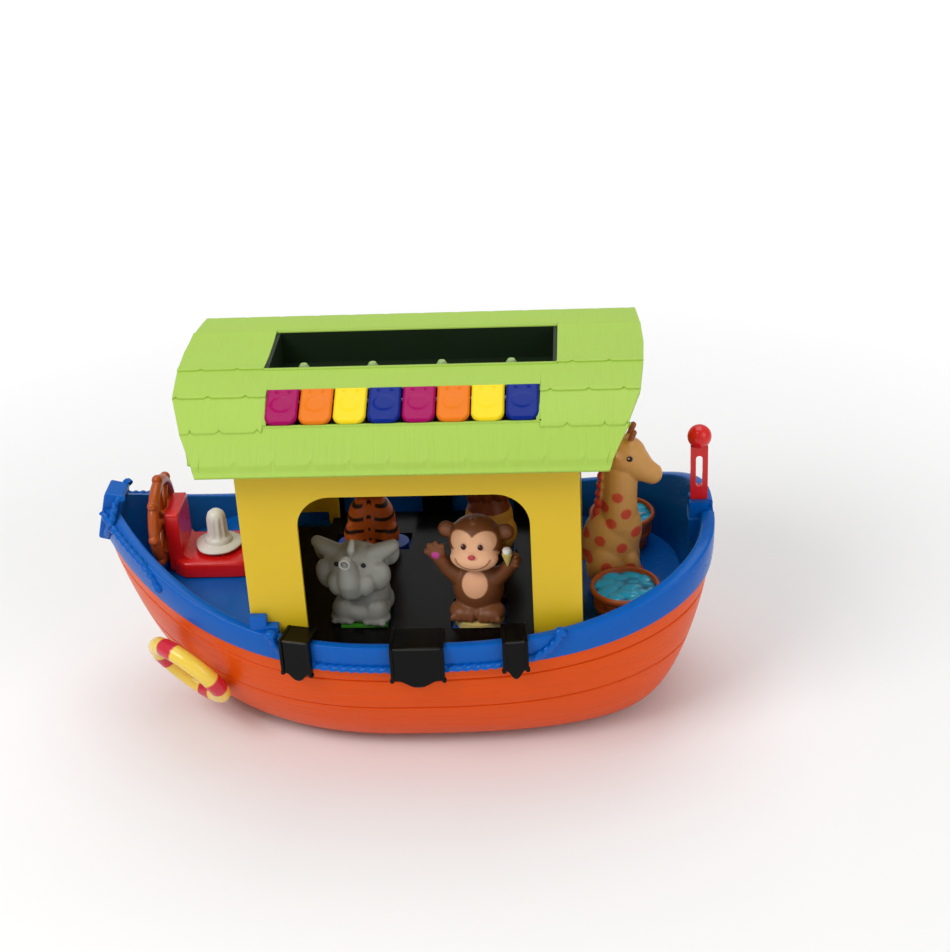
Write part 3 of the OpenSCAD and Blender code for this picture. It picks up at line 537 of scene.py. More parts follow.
# %% [markdown]
# ## The helm console and its seat
# The console is one red moulding: a bevelled seat block with a round well, a soft upright for the
# wheel, and a hollow curve between them. The block is a stack of rings from its foot, over the edge,
# in to the well and down it. The white seat is turned, with a wavy brim and a ribbed peg.
# %% Console
SEAT_X, SEAT_TOP = -117.0, 102.0


def seat_block():
    """Rings of a squared oval, narrower at its fore end, then circles of the well down to its floor."""
    a = circle(96)
    rows = []
    for d, z in ((1.2, 91), (0, 92.2), (0, 99.4), (0.5, 101), (1.5, 101.8), (3, 102)):
        x = -119.5 + (26.5 - d) * squared(np.cos(a), 0.32)
        y = (21 - d) * squared(np.sin(a), 0.32) * (1 - 0.3 * np.clip((-136 - x) / 10, 0, 1))
        rows.append(xyz(x, y, z))
    for r, z in ((9.2, 102), (8.3, 101.6), (8.1, 101), (8.1, 92.3)):
        rows.append(xyz(SEAT_X + r * np.cos(a), r * np.sin(a), z))
    return closed_tube(np.array(rows))


def hollow_curve():
    """A sheet along Y, bent as a quarter of a hollow circle and filled straight down into the seat."""
    t = np.linspace(np.pi, 1.5 * np.pi, 14)[:, None]
    y = np.array([15.4, -15.4])[None]
    x, z = -130.1 + 7.5 * np.cos(t), 109.3 + 7.5 * np.sin(t)
    return thick_sheet(xyz(x, y, z), xyz(x, y, 0 * z + 100))


def seat():
    """Radius by height: stem, brim that waves round the seat, collar, ribbed peg with a round top."""
    prof = np.array([
        [0.01, -7], [7.9, -7], [7.9, 1.7], [13.2, 1.6], [14.4, 2.2], [14.6, 3], [13.8, 3.8], [10, 4.3],
        [8.8, 4.8], [8.5, 6.4], [8, 7.6], [7, 8.2], [6.4, 9.2], [6.2, 12], [6.1, 16], [6, 20], [5.8, 22],
        [4.9, 24.2], [3, 25.8], [1.4, 26.3], [0.01, 26.4]])
    a = circle(120)
    brim = ((prof[:, 0] > 12.5) & (prof[:, 1] < 4.5))[:, None]
    peg = ((prof[:, 1] > 9) & (prof[:, 1] < 21))[:, None]
    wave = np.where(brim, 0.35 * np.sin(3 * a + 0.6) + 0.25 * np.sin(5 * a), 0)
    r = prof[:, :1] + (wave + np.where(peg, 0.28 * np.cos(10 * a), 0))
    return closed_tube(xyz(SEAT_X + r * np.cos(a), r * np.sin(a), SEAT_TOP + prof[:, 1:]))


upright = pillow((-146, -15.5, 93), (-136.8, 15.5, 133.5), 0.13)
red_parts = join([seat_block(), upright, hollow_curve()])
put("console_moulding", red_parts, "ark", "helm_red", ["helm_console"], 35)
put("seat_turning", seat(), "seat", "peg_white", ["seat_button"], 40)

# %% [markdown]
# ## Figure tray and its clips
# A thin black tray holds the figures and hooks over the rim. Its plate is a grid of cells, some left
# out as sockets, closed by a wall wherever a filled cell meets an empty one. Each clip is a top plate
# and a flanged leg in the plane of the rim, and the leg ends in a foot shaped like a bell.
# %% Tray
SOCKETS = ((-22, -44, 15.5, 14.5), (47, -44, 16.5, 16.5), (-26, 44, 24.5, 10.5), (50, 44, 16.5, 14.5))
LANDS = ((-81.5, -55, 65.0), (-56, 106, 76.5), (-51, 80, 83.2))


def tray_plate(z0, z1):
    """Cells between every edge of the lands and sockets; filled where a land is and no socket is."""
    land_x, land_y = [v for a, b, _ in LANDS for v in (a, b)], [k * v for _, _, v in LANDS for k in (-1, 1)]
    x = np.unique(land_x + [s[0] + k * s[2] for s in SOCKETS for k in (-1, 1)])
    y = np.unique(land_y + [s[1] + k * s[3] for s in SOCKETS for k in (-1, 1)])
    cx, cy = (x[:-1, None] + x[1:, None]) / 2, (y[None, :-1] + y[None, 1:]) / 2
    solid = np.any([(cx > a) & (cx < b) & (np.abs(cy) < v) for a, b, v in LANDS], axis=0)
    solid &= ~np.any([(np.abs(cx - a) < b) & (np.abs(cy - c) < d) for a, c, b, d in SOCKETS], axis=0)
    gx, gy = np.meshgrid(x, y, indexing="ij")
    n, m = gx.size, len(y)
    pts = np.vstack([xyz(gx, gy, z).reshape(-1, 3) for z in (z1, z0)])
    i, j = np.nonzero(solid)
    a, b, c, d = i * m + j, (i + 1) * m + j, (i + 1) * m + j + 1, i * m + j + 1
    faces = [np.stack([a, b, c, d], -1), np.stack([d, c, b, a], -1) + n]
    ring = np.pad(solid, 1)
    for p, q, di, dj in ((a, b, 0, -1), (b, c, 1, 0), (c, d, 0, 1), (d, a, -1, 0)):
        bare = ~ring[i + 1 + di, j + 1 + dj]
        faces.append(np.stack([q, p, p + n, q + n], -1)[bare])
    return used_only(pts, np.vstack(faces))


def foot(w, z, dip):
    """A plate whose lower edge dips in the middle as a bell, with a short shoulder each side."""
    x = np.linspace(-w / 2, w / 2, 41)[None]
    v = np.linspace(0, 1, 12)[:, None]
    low = z - dip * np.exp(-np.abs(x / (0.29 * w)) ** 2.6)
    zz = z + 6 + (low - z - 6) * v
    edge = np.clip((1 - v) / 0.12, 0, 1) ** 0.5
    return thick_sheet(xyz(x, -2.6 - 1.1 * edge, zz)[::-1], xyz(x, -0.7, zz)[::-1])


def clip(x0, w, z, dip, side):
    """Leg, flanges, top plate and foot set at the rim's edge and turned with it; the lips come last."""
    edge = band_point(np.array([x0 - 2, x0, x0 + 2]), 1.0, 0.0, -1)
    yaw = math.atan2(edge[2, 1] - edge[0, 1], 4)
    top = max(band_point(np.array([x0 - w / 2, x0 + w / 2]), 1.0, 0.0, -1)[:, 2]) + 0.4
    reach = -edge[1, 1] - 81
    block = lambda x1, y1, z1, x2, y2, z2, e: pillow((x1, y1, z1), (x2, y2, z2), e, 15, 28)
    parts = [block(-w / 2, -3.7, z, w / 2, -0.6, top + 1.2, 0.1), foot(w, z + 0.4, dip)]
    parts += [block(-w / 2, -3.6, top - 0.2, w / 2, reach, top + 1.3, 0.1)]
    parts += [block(-w / 3, reach - 2.2, 73, w / 3, reach, top + 1.2, 0.1)]
    lips = [block(-w / 2, -4.1, top + 0.2, w / 2, -2.9, top + 1.5, 0.5)]
    for s in (-1, 1):
        end = s * (w / 2 + 0.4)
        parts += [block(s * w / 2 - 1, -4.9, z - 0.6, s * w / 2 + 1, -0.5, top + 1.9, 0.3)]
        parts += [block(s * w / 2 - 1, -4.9, top - 0.6, s * w / 2 + 1, reach, top + 1.9, 0.3)]
        parts += [block(end - 1.3, -4.7, z - 1.0, end + 1.3, -0.9, z + 1.4, 0.6)]
    c, s = math.cos(yaw), math.sin(yaw)
    out = []
    for pts, faces in (join(parts), join(lips)):
        x, y, z = pts.T
        pts = np.stack([c * x - s * y + x0, s * x + c * y + edge[1, 1], z], -1)
        out.append((pts, faces) if side < 0 else (pts * [1, -1, 1], [f[::-1] for f in faces]))
    return out


CLIPS = ((-57.2, 16.8, 71, 5.6), (13.5, 29.6, 69, 5.4), (70.2, 13, 73.6, 6.6))
clips = [clip(*at, side) for at in CLIPS for side in (-1, 1)]
put("tray_plate", tray_plate(DECK, DECK + 4.6), "ark", "black", ["figure_tray"], 30)
put("tray_clips", join([c[0] for c in clips]), "ark", "black", (), 35)
put("clip_lips", join([c[1] for c in clips]), "ark", "black", (), 35, "lip_black")

# %% [markdown]
# ## Shingled roof
# The roof is one sheet, bent as a flat-topped arch. Four courses of shingles step down it; each has
# rounded lower corners, so its butt line has a small cusp at every joint. Rows of the grid follow
# the butts and extra columns sit at the joints, and the cells over the recess and keys are left out.
# %% Roof
def roof_height(y):
    """Crown height less a fourth-power fall to the eave."""
    return 234.8 - 33.0 * (np.abs(y) / 98.0) ** 4


BUTTS, SHINGLE = (27.0, 57.0, 80.0, 94.8), 21.5
DOWN = (0, 0.05, 0.2, 0.4, 0.6, 0.8, 0.92, 0.97, 1.0)
LIP = ((95.6, -0.1), (96.6, 0.1), (97.5, 0.0), (98.0, -0.4), (98.0, -1.1), (97.7, -1.6))
RECESS, RECESS_EDGE = (-71.25, 97.75), 28.0
KEYS, SLOT_EDGES = (-66.05, 88.55), {1: 51.4, 2: 77.3}
ACROSS = (0.0, 27.0, 57.0, 80.0, 99.0)
FORE_END, AFT_END = (-123.0, -122.0, -119.5, -112.5, -102.5), (148.0, 147.0, 144.5, 137.0, 125.5)
FORE, AFT = FORE_END[0], AFT_END[0]
BEND_FORE, BEND_AFT = -100.0, 123.0


def joints_of(course, side):
    """Stations of the joints of one course; each course is shifted from the last."""
    shift = (course * 0.43 + (0.25 if side > 0 else 0.0)) % 1.0
    return np.arange(-130 + SHINGLE * shift, 150, SHINGLE)


def within(x, ends, slack=0.0):
    """Which stations lie between two ends."""
    return (x > ends[0] - slack) & (x < ends[1] + slack)


def slope(x, side):
    """Breadth and height of every row from the ridge to the lip of one side, and each row's course."""
    rows, tags, start = [], [], np.zeros_like(x)
    for course, butt in enumerate(BUTTS):
        near = np.abs(x[:, None] - joints_of(course, side)[None]).min(1)
        edge = butt - 1.8 * np.exp(-(near / 1.2) ** 1.3)
        if course == 0:
            edge = np.where(within(x, RECESS, 0.01), RECESS_EDGE, edge)
        if side < 0 and course in SLOT_EDGES:
            edge = np.where(within(x, KEYS, 0.01), SLOT_EDGES[course], edge)
        for v in DOWN:
            y = start + (edge - start) * v
            rows.append(np.stack([y, roof_height(y) + 0.2 + 1.3 * v ** 4 - 0.4 * (v == 1)], -1))
        tags += [course] * len(DOWN)
        start = edge + 0.12
    for y, drop in LIP:
        y = np.maximum(y, start + 0.02)
        rows.append(np.stack([y, roof_height(np.minimum(y, 97.0)) + drop], -1))
    return np.array(rows), np.array(tags + [len(BUTTS)] * len(LIP))


def roof():
    """Both slopes as one grid, its ends drawn in towards the eaves, less the cells of recess and keys."""
    cols = [np.arange(FORE, AFT + 0.01, 2.4), [AFT]]
    cols += [(e - 0.1, e, e + 0.1) for e in RECESS + KEYS]
    beside = (-3.2, -1.7, -0.8, 0, 0.8, 1.7, 3.2)
    cols += [np.add.outer(joints_of(c, side), beside).ravel() for c in range(4) for side in (-1, 1)]
    x = np.unique(np.round(np.concatenate(cols), 3))
    x = x[(x >= FORE) & (x <= AFT)]
    port, _ = slope(x, -1)
    starboard, tags = slope(x, 1)
    yz = np.concatenate([port[::-1] * [-1, 1], starboard[1:]])
    tags = np.concatenate([tags[::-1], tags[1:]])
    reach = np.abs(yz[..., 0])
    rows, n = reach.shape
    long_fore = BEND_FORE - np.interp(reach, ACROSS, FORE_END)
    long_aft = np.interp(reach, ACROSS, AFT_END) - BEND_AFT
    fore = BEND_FORE + (x - BEND_FORE) * long_fore / (BEND_FORE - FORE)
    aft = BEND_AFT + (x - BEND_AFT) * long_aft / (AFT - BEND_AFT)
    xx = np.where(x < BEND_FORE, fore, np.where(x > BEND_AFT, aft, x))
    mid, above, below = (x[:-1] + x[1:]) / 2, tags[:-1], tags[1:]
    crown = np.maximum(above, below) == 0
    slot = (above == 2) & (below == 2) & (np.arange(rows - 1) < rows // 2)
    cut = np.outer(crown, within(mid, RECESS)) | np.outer(slot, within(mid, KEYS))
    quads = np.array(grid_faces(rows, n))[~cut.ravel()]
    return used_only(np.concatenate([xx[..., None], yz], -1).reshape(-1, 3), quads)


roof_piece = put("shingled_roof", roof(), "ark", "roof_green", ["roof_shell"], 28)
wall = roof_piece.modifiers.new("sheet", "SOLIDIFY")
wall.thickness = 0.0022
wall.offset = -1.0
up = np.array([p.normal.z for p in roof_piece.data.polygons])
print("roof cells that face up:", round(float((up > 0).mean()), 3))

# %% [markdown]
# ## Keys
# Each key is a plate with soft edges, a rounded free end, a low oval pad to press and two small
# dimples near its hinge. A grid over the plate gives its crown and pad, and a second layer closes it.
# %% Keys
SLOPE = math.radians(23.5)
KEY_PITCH, KEY_W, KEY_LEN, CORNER = 19.3, 18.5, 26, 6
KEY_X = 11.25 + (np.arange(8) - 3.5) * KEY_PITCH


def key_plate(x0):
    """Plate in its own plane: width narrows by a quarter circle at the free end; crown, pad, dimples."""
    v = np.sin(np.linspace(-np.pi / 2, np.pi / 2, 61))[None]
    y = -KEY_LEN * (0.5 - 0.5 * np.cos(np.linspace(0, np.pi, 65)))[:, None]
    d = KEY_LEN + y
    straight = KEY_W / 2 - CORNER
    bend = straight + np.sqrt(np.clip(CORNER ** 2 - (CORNER - d) ** 2, 0, None))
    half = np.where(d < CORNER, bend, KEY_W / 2)
    x = half * v
    edge = np.minimum(np.minimum(half - np.abs(x), d), -y)
    crown = -1.5 * np.clip(1 - edge / 1.7, 0, 1) ** 2.2
    oval = np.sqrt((x / 6.0) ** 2 + ((y + 12.4) / 5.2) ** 2)
    pad = 0.4 / (1 + np.exp((oval - 1) / 0.07))
    dimple = -0.8 * sum(np.exp(-(((x - s * 3.6) / 0.8) ** 2 + ((y + 3.2) / 0.7) ** 2)) for s in (-1, 1))
    top, under = xyz(x, y, crown + pad + dimple - 0.3), xyz(x * 0.985, y * 0.99 - 0.1, -3.2)
    pts, faces = thick_sheet(top[::-1], under[::-1])
    x, y, z = pts.T
    c, s = math.cos(SLOPE), math.sin(SLOPE)
    return np.stack([x + x0, c * y - s * z - 53.0, s * y + c * z + 235.4], -1), faces


KEY_FINISH = ["key_" + hue for hue in KEYS_RGB]
for i, x0 in enumerate(KEY_X):
    stem = pillow((x0 - 2, -68, 209), (x0 + 2, -64, 227), 0.1)
    name = f"key_{i + 1}"
    put("play_" + name, join([key_plate(x0), stem]), name, KEY_FINISH[i % 4], [name], 30)

# %% [markdown]
# ## Painted pieces
# The life rings and the animals carry more than one colour on one moulding, with some painted light
# on the animals; the water in the tubs carries painted light and shade.
# Each such piece stores a colour at every point, and its material reads that attribute.
# %% Paint helper
def paint(piece, colours):
    """A colour for each point of a piece, given as screen values 0 to 255."""
    c = linear(colours)
    layer = piece.data.attributes.new("paint", "FLOAT_COLOR", "POINT")
    layer.data.foreach_set("color", np.concatenate([c, np.ones((len(c), 1))], 1).ravel())
    return piece


def flat(count, rgb):
    """One colour for a number of points."""
    return np.tile(np.array(rgb, float), (count, 1))


def blend_in(base, other, mask):
    """The base colours moved to another colour as far as a mask from nought to one says."""
    return base + (np.asarray(other, float) - base) * np.clip(mask, 0, 1)[:, None]

# %% [markdown]
# ## Life rings
# A ring is a circle carried round a circle, a little flattened, with four red bands that stand proud
# by a fraction of a millimetre. It hangs on the planking, so it is placed by the hull's own normal
# and tipped down a little from it.
# %% Life rings
def hull_spot(a, t):
    """Point and outward normal of the hull from small steps along and up it."""
    one = lambda turn, level: hull_ring(np.array([turn]), level)[0]
    e = math.radians(1)
    n = np.cross(one(a + e, t) - one(a - e, t), one(a, t + 0.01) - one(a, t - 0.01))
    return one(a, t), n / np.linalg.norm(n)


def life_ring(side):
    """A torus; its bands are a raised cosine of the angle round the ring."""
    p, n = hull_spot(math.radians(43), 0.44)
    a, b = circle(160), circle(36)
    band = np.clip((np.cos(4 * a) - 0.62) / 0.06, 0, 1)
    r = 5.4 + 0.22 * band[:, None]
    ring = 24.5 + r * np.cos(b)[None]
    local = xyz(ring * np.cos(a)[:, None], ring * np.sin(a)[:, None], r * np.sin(b)[None])
    tilt, turn = math.acos(n[2]) + math.radians(12), math.atan2(n[1], n[0])
    m = np.array(Matrix.Rotation(turn, 3, "Z") @ Matrix.Rotation(tilt, 3, "Y"))
    pts = (local.reshape(-1, 3) + [0, 0, 9.8]) @ m.T + p
    colours = blend_in(flat(len(pts), (240, 205, 75)), (206, 34, 58), np.repeat(band, 36))
    faces = grid_faces(160, 36, True, True)
    if side > 0:
        pts = pts * [1, -1, 1]
    else:
        faces = [q[::-1] for q in faces]
    return pts, faces, colours


for side, name in SIDES:
    pts, faces, colours = life_ring(side)
    paint(put("ring_" + name, (pts, faces), "ark", "ring_yellow", ["life_ring_" + name], 60), colours)

# %% [markdown]
# ## Tubs of water
# A tub is turned: a profile carried round an axis, with shallow grooves between its staves and two
# hoops. The water is a disc of flat swells that overlap like scales, coloured by height: painted shade
# where they meet and painted light on their crests.
# %% Tubs
TUB_X, TUB_Y, WATER_R, SWELLS = 135.0, 44.5, 18.4, 17


def tub(side):
    """Radius by height, less a narrow groove at each of fourteen stave joints between the hoops."""
    prof = np.array([
        [0.01, 0], [15.2, 0], [16, 0.8], [16.6, 4], [17.4, 8.6], [18.4, 9.2], [18.9, 10], [19.1, 12],
        [18.8, 13], [18.5, 13.5], [18.9, 16], [19.7, 19.6], [20.5, 20.2], [21, 21.2], [21, 23],
        [20.4, 23.8], [19.7, 24], [19, 23.8], [18.6, 23.2], [18.5, 18.2], [0.01, 18.2]])
    a = circle(168)
    groove = 0.55 * np.clip((np.cos(14 * a) - 0.9) / 0.1, 0, 1)
    plain = np.isin(np.arange(len(prof)), [3, 4, 9, 10, 11])[:, None]
    r = prof[:, :1] - np.where(plain, groove[None], 0)
    return closed_tube(xyz(TUB_X + r * np.cos(a), side * TUB_Y + r * np.sin(a), DECK + prof[:, 1:]))


def water(side):
    """Rows out from a disc's middle; height is the highest of many flat oval swells and sets painted light
    and shade.
    """
    q = np.linspace(0.02, 1, 64)[:, None]
    a = circle(180)[None]
    x, y = WATER_R * q * np.cos(a), WATER_R * q * np.sin(a)
    k = np.arange(SWELLS)
    r, turn = 18.5 * np.sqrt((k + 0.5) / SWELLS), 0.3 + 0.7 * np.sin(2.1 * k)
    dx, dy = x[..., None] - r * np.cos(2.4 * k), y[..., None] - r * np.sin(2.4 * k)
    u, v = dx * np.cos(turn) + dy * np.sin(turn), dy * np.cos(turn) - dx * np.sin(turn)
    h = (1 + 0.2 * np.sin(3.7 * k) + 0.05 * v - (u / 11) ** 2 - (v / 7) ** 2).max(-1)
    top = np.stack([TUB_X + x, side * TUB_Y + y, DECK + 19.2 + 2.2 * h], -1)
    wall = top[-1:].copy()
    wall[..., 2] = DECK + 18.2
    pts, faces = closed_tube(np.concatenate([wall, top[::-1]]))
    painted_light_level = np.concatenate([np.zeros(180), h[::-1].ravel(), [0, h[0].mean()]])
    return pts, faces, painted_light_level


for side, name in SIDES:
    put("stave_tub_" + name, tub(side), "ark", "tub_brown", ["tub_" + name], 40)
pools = [water(-1), water(1)]
painted_light_level = np.concatenate([w[2] for w in pools])
# painted shade low between the swells and painted light on their crests, by height
shade = blend_in(flat(len(painted_light_level), (4, 84, 122)), (16, 166, 210), (painted_light_level - 0.45) / 0.4)
paint(put("tub_pool", join([w[:2] for w in pools]), "ark", "water_teal", ["tub_water"], 60), shade)

# %% [markdown]
# ## Soft vinyl animals
# Each animal is a blow-moulded lump: body, head and limbs flow into one skin. Listed ellipsoids
# overlap, a voxel remesh welds them into one closed skin, and a few rounds of averaging melt
# the joins as a mould would. Colour is stored per point; eyes and other small dots are set in after.
# %% Figure helpers
VOXEL, ROUNDS = 0.7, 5
STAND = 78.0


def lump(centre, radii, tip=0.0):
    """An ellipsoid tipped about Y by an angle in degrees."""
    pts, faces = ball((0, 0, 0), radii, 17, 24)
    m = np.array(Matrix.Rotation(math.radians(tip), 3, "Y"))
    return pts @ m.T + np.array(centre), faces


def limb(corners, radii, count=9):
    """Balls strung along a bent line, with radii blended between its corners."""
    corners, radii = np.array(corners, float), np.array(radii, float)
    at = np.linspace(0, len(corners) - 1, count)
    k = np.arange(len(corners))
    centres = np.stack([np.interp(at, k, corners[:, c]) for c in range(3)], -1)
    return [ball(c, (r, r, r), 13, 18) for c, r in zip(centres, np.interp(at, k, radii))]


def weld(parts):
    """One skin round overlapping closed shapes, then each point moved to the mean of its neighbours."""
    pts, faces = join(parts)
    mesh = bpy.data.meshes.new("loose_shapes")
    mesh.from_pydata((pts * MM).tolist(), [], faces)
    loose = bpy.data.objects.new("loose_shapes", mesh)
    scene.collection.objects.link(loose)
    remesh = loose.modifiers.new("weld", "REMESH")
    remesh.mode = "VOXEL"
    remesh.voxel_size = VOXEL * MM
    skin = bpy.data.meshes.new_from_object(loose.evaluated_get(bpy.context.evaluated_depsgraph_get()))
    co = np.empty(len(skin.vertices) * 3, np.float32)
    skin.vertices.foreach_get("co", co)
    co = co.reshape(-1, 3).astype(float) / MM
    edges = np.empty(len(skin.edges) * 2, np.int32)
    skin.edges.foreach_get("vertices", edges)
    a, b = edges.reshape(-1, 2).T
    count = np.bincount(a, minlength=len(co)) + np.bincount(b, minlength=len(co))
    total = lambda k: np.bincount(a, co[b, k], len(co)) + np.bincount(b, co[a, k], len(co))
    for _ in range(ROUNDS):
        near = np.stack([total(k) for k in range(3)], -1)
        co = 0.4 * co + 0.6 * near / count[:, None]
    out = [list(p.vertices) for p in skin.polygons]
    bpy.data.objects.remove(loose)
    bpy.data.meshes.remove(mesh)
    bpy.data.meshes.remove(skin)
    return co, out


def soft(value, edge=0.35):
    """A mask that is one where value is below nought and falls off over an edge in millimetres."""
    return np.clip(0.5 - value / (2 * edge), 0, 1)


def dot(p, centre, r):
    """A mask of the points within r of a centre."""
    return soft(np.linalg.norm(p - np.array(centre, float), axis=1) - r)


def figure(name, parts, colours, extras, place, yaw, size=(1, 1, 1)):
    """Weld the parts, colour them, add the small set-in pieces, then stretch, turn and place the whole."""
    skin = weld(parts)
    pts, faces = join([skin] + [(p, f) for p, f, _ in extras])
    paints = np.vstack([colours(skin[0])] + [flat(len(p), c) for p, _, c in extras])
    turn = np.array(Matrix.Rotation(math.radians(yaw), 3, "Z"))
    slot = next(e["material_slot"] for e in frame["record"]["subparts"] if e["node"] == name + "_body")
    pts = pts * size @ turn.T + np.array([*place, STAND])
    return paint(put(name + "_skin", (pts, faces), name, slot, [name + "_body"], 70), paints)


def pair(x, y, z, radii, colour, shift=0.0, detail=(11, 16)):
    """Two small balls of one colour to set in either side of the face's middle, which may be shifted."""
    return [(*ball((s * x + shift, y, z), radii, *detail), colour) for s in (-1, 1)]


def row_of(middle, offsets, y, z, radii):
    """Small balls side by side, for toes."""
    return [ball((middle + d, y, z), radii, 9, 12) for d in offsets]

# %% [markdown]
# ## Elephant
# A wide head sits low on a squat body, with flared ears, full cheeks and a trunk curled up the face
# so that its ringed tip points forward.
# %% Elephant
TILT = -2.2


def elephant_parts():
    """Body, legs and tail stand straight; the head with ears, cheeks, trunk and tuft is moved aside."""
    parts = [lump((0, 2, 15), (16.8, 14.5, 17)), lump((0, -1, 6), (17.2, 15, 9))]
    head = [lump((0, -2, 33.5), (19.2, 15.5, 14.6)), lump((0, -9, 27), (15, 8.5, 8.5))]
    for s in (-1, 1):
        parts += [lump((s * 9.4, -8, 6.5), (8, 7.6, 10)), lump((s * 10, -8.5, 2.4), (8.6, 8, 3.4))]
        parts += [lump((s * 9.5, 8, 6), (7.8, 7.5, 9))]
        head += [lump((s * 8.4, -14.6, 27.5), (6.4, 5.4, 8.4), s * 14)]
        head += [lump((s * 16, -8.5, 30.5), (6.8, 6, 10), s * 14)]
        head += limb([(s * 11, -3, 41.6), (s * 18, -1.5, 44.6), (s * 23.5, 0.5, 47)], [6.2, 5.2, 3.8])
        head += [lump((s * 21, 2.5, 40), (5.4, 2.8, 8.2), s * 18)]
        parts += row_of(s * 10, (-4.6, 0, 4.6), -14.8, 1.6, (2.6, 1.6, 1.8))
    trunk = [(0, -15.6, 25.5), (0, -17.6, 31), (0, -18.8, 39), (0, -21.6, 46.6)]
    head += limb(trunk, [7.6, 7.4, 5.8, 3.9], 16)
    head += [lump((1.5, -12.5, 19.4), (8, 5, 3.4), -8)]
    head += limb([(0, -14, 43), (0.3, -11, 49), (0.6, -8, 53.4)], [1.4, 2.7, 1.6], 9)
    parts += limb([(0, 15, 10), (2, 18, 8), (2, 19, 4)], [2.6, 2, 2.4], 7)
    return parts + [(p + np.array([TILT, 0, 1.0]), f) for p, f in head]


def elephant_colours(p):
    """Grey with painted light, lighter higher up and lightest on the trunk tip and tuft; a thin dark smile
    under the trunk.
    """
    # painted light: lighter above 25 mm up, darker below
    c = flat(len(p), (138, 138, 131)) + np.clip((p[:, 2:] - 25) * 0.25, -6, 6)
    x = p[:, 0] - TILT
    smile = np.abs(p[:, 2] - (20.6 + 0.05 * x ** 2)) - 0.4
    c = blend_in(c, (66, 66, 62), soft(smile) * (np.abs(x) < 8.5) * (p[:, 1] < -10))
    # painted highlight on the tops of the trunk tip and the tuft
    return blend_in(c, (168, 168, 160), soft(49.5 - p[:, 2]) * (np.abs(x) < 3.5))


def tip_ring(centre, r, thick):
    """A small torus that faces forward."""
    a, b = circle(28), circle(10)
    q = r + thick * np.cos(b)[None]
    p = xyz(q * np.cos(a)[:, None], thick * np.sin(b)[None], q * np.sin(a)[:, None])
    return p.reshape(-1, 3) + np.array(centre), grid_faces(28, 10, True, True)


elephant_set = pair(8.3, -14.2, 41.8, (1.5, 1.0, 1.6), (14, 13, 12), TILT)
# painted highlight: the outer ring is a lighter grey; painted shade: the inner ring, the nostril, is a
# darker grey
elephant_set += [(*tip_ring((TILT, -25.2, 48.2), 2.9, 0.75), (160, 160, 152))]
elephant_set += [(*tip_ring((TILT, -25.4, 48.2), 1.2, 0.5), (120, 120, 114))]
figure("elephant", elephant_parts(), elephant_colours, elephant_set, (-23.4, -41.5), -8)

# %% [markdown]
# ## Monkey
# Brown with a heart-shaped pale face, wide smile and round ears. Both arms are raised; one palm is
# pink and the other hand holds a cone with a white ball on it.
# %% Monkey
def monkey_parts():
    """Body, head and muzzle; ears, feet and arms on both sides; open palm, fist, tuft and tail."""
    parts = [lump((0, 0, 19), (15.2, 13.5, 19.5)), lump((0, 0, 53), (16, 14.5, 17.5))]
    parts += [lump((0, -8.5, 45.5), (14.2, 8.6, 9))]
    for s in (-1, 1):
        parts += [lump((s * 17, 1.5, 59), (5.6, 3, 6.2), s * 12)]
        parts += [lump((s * 8.2, -7, 4.6), (8.4, 9, 6.4)), lump((s * 4, -7, 4.6), (6, 8.8, 6.2))]
        parts += row_of(s * 8.2, (-5.4, -1.8, 1.8, 5.4), -14.8, 2.8, (1.8, 1.5, 2.8))
        hand = (s * 22, -6, 42 + 2.5 * (s < 0))
        parts += limb([(s * 11, -2, 27), (s * 17, -4, 34), hand], [6.2, 4.8, 4.4], 10)
    parts += [lump((-22.5, -7, 47), (5.6, 3.6, 5.6)), lump((22.5, -6, 44), (4.6, 4, 5))]
    for a in (-1.5, -0.75, 0.0, 0.75):
        tip = (-22.5 + 5.6 * math.sin(a), -7.5, 47.2 + 6.2 * math.cos(a))
        parts.append(ball(tip, (1.9, 1.9, 2.4), 9, 12))
    parts += [ball((24.4, -9, 41.5 + 3.1 * k), (2.2, 2.4, 1.7), 9, 12) for k in range(3)]
    parts += limb([(0, -3, 67), (-0.4, -4.5, 70.3), (0.4, -7.5, 71)], [3.4, 1.9, 1.0], 7)
    parts += limb([(0, 12, 6), (3, 17, 8), (8, 18, 14), (9, 15.5, 21)], [3, 2.6, 2.4, 2.2], 14)
    return parts


def monkey_colours(p):
    """Brown; pale heart and belly by their outlines seen from the front; pink palm; dark smile."""
    x, y, z = p.T
    c = flat(len(p), (128, 76, 44))
    brows = np.hypot(np.abs(x) - 6.0, z - 57.6) - 7.4
    cheeks = (np.hypot(x / 14.6, (z - 46.2) / 9.4) - 1) * 9.4
    heart = np.minimum(np.minimum(brows, cheeks), np.maximum(np.abs(x) - 11, np.abs(z - 52) - 5))
    c = blend_in(c, (252, 194, 152), soft(heart) * (y < -4) * (z > 36))
    c = blend_in(c, (246, 184, 142), soft((np.hypot((x + 0.2) / 7.6, (z - 26.4) / 8.9) - 1) * 8) * (y < -6))
    c = blend_in(c, (206, 70, 160), dot(p, (-22.4, -11, 46.6), 2.6))
    smile = np.abs(np.hypot(x / 10.5, (z - 49.5) / 8.3) - 1) * 8.5 - 0.33
    c = blend_in(c, (150, 70, 44), soft(smile) * (z < 47.5) * (y < -8) * (z > 38))
    ear = np.hypot(np.abs(x) - 17.4, z - 59) - 3.4
    return blend_in(c, (150, 96, 62), soft(ear) * (y < 0.6) * (np.abs(x) > 13))


def cone(centre, height, r):
    """A pointed cup: radius grows with height from a blunt tip."""
    h = np.array([0, 0.05, 0.5, 1.0, 1.04])[:, None]
    a = circle(24)[None]
    q = r * np.array([0.1, 0.18, 0.6, 1.0, 0.8])[:, None]
    p = xyz(q * np.cos(a), q * np.sin(a), h * height)
    return closed_tube(p + np.array(centre))


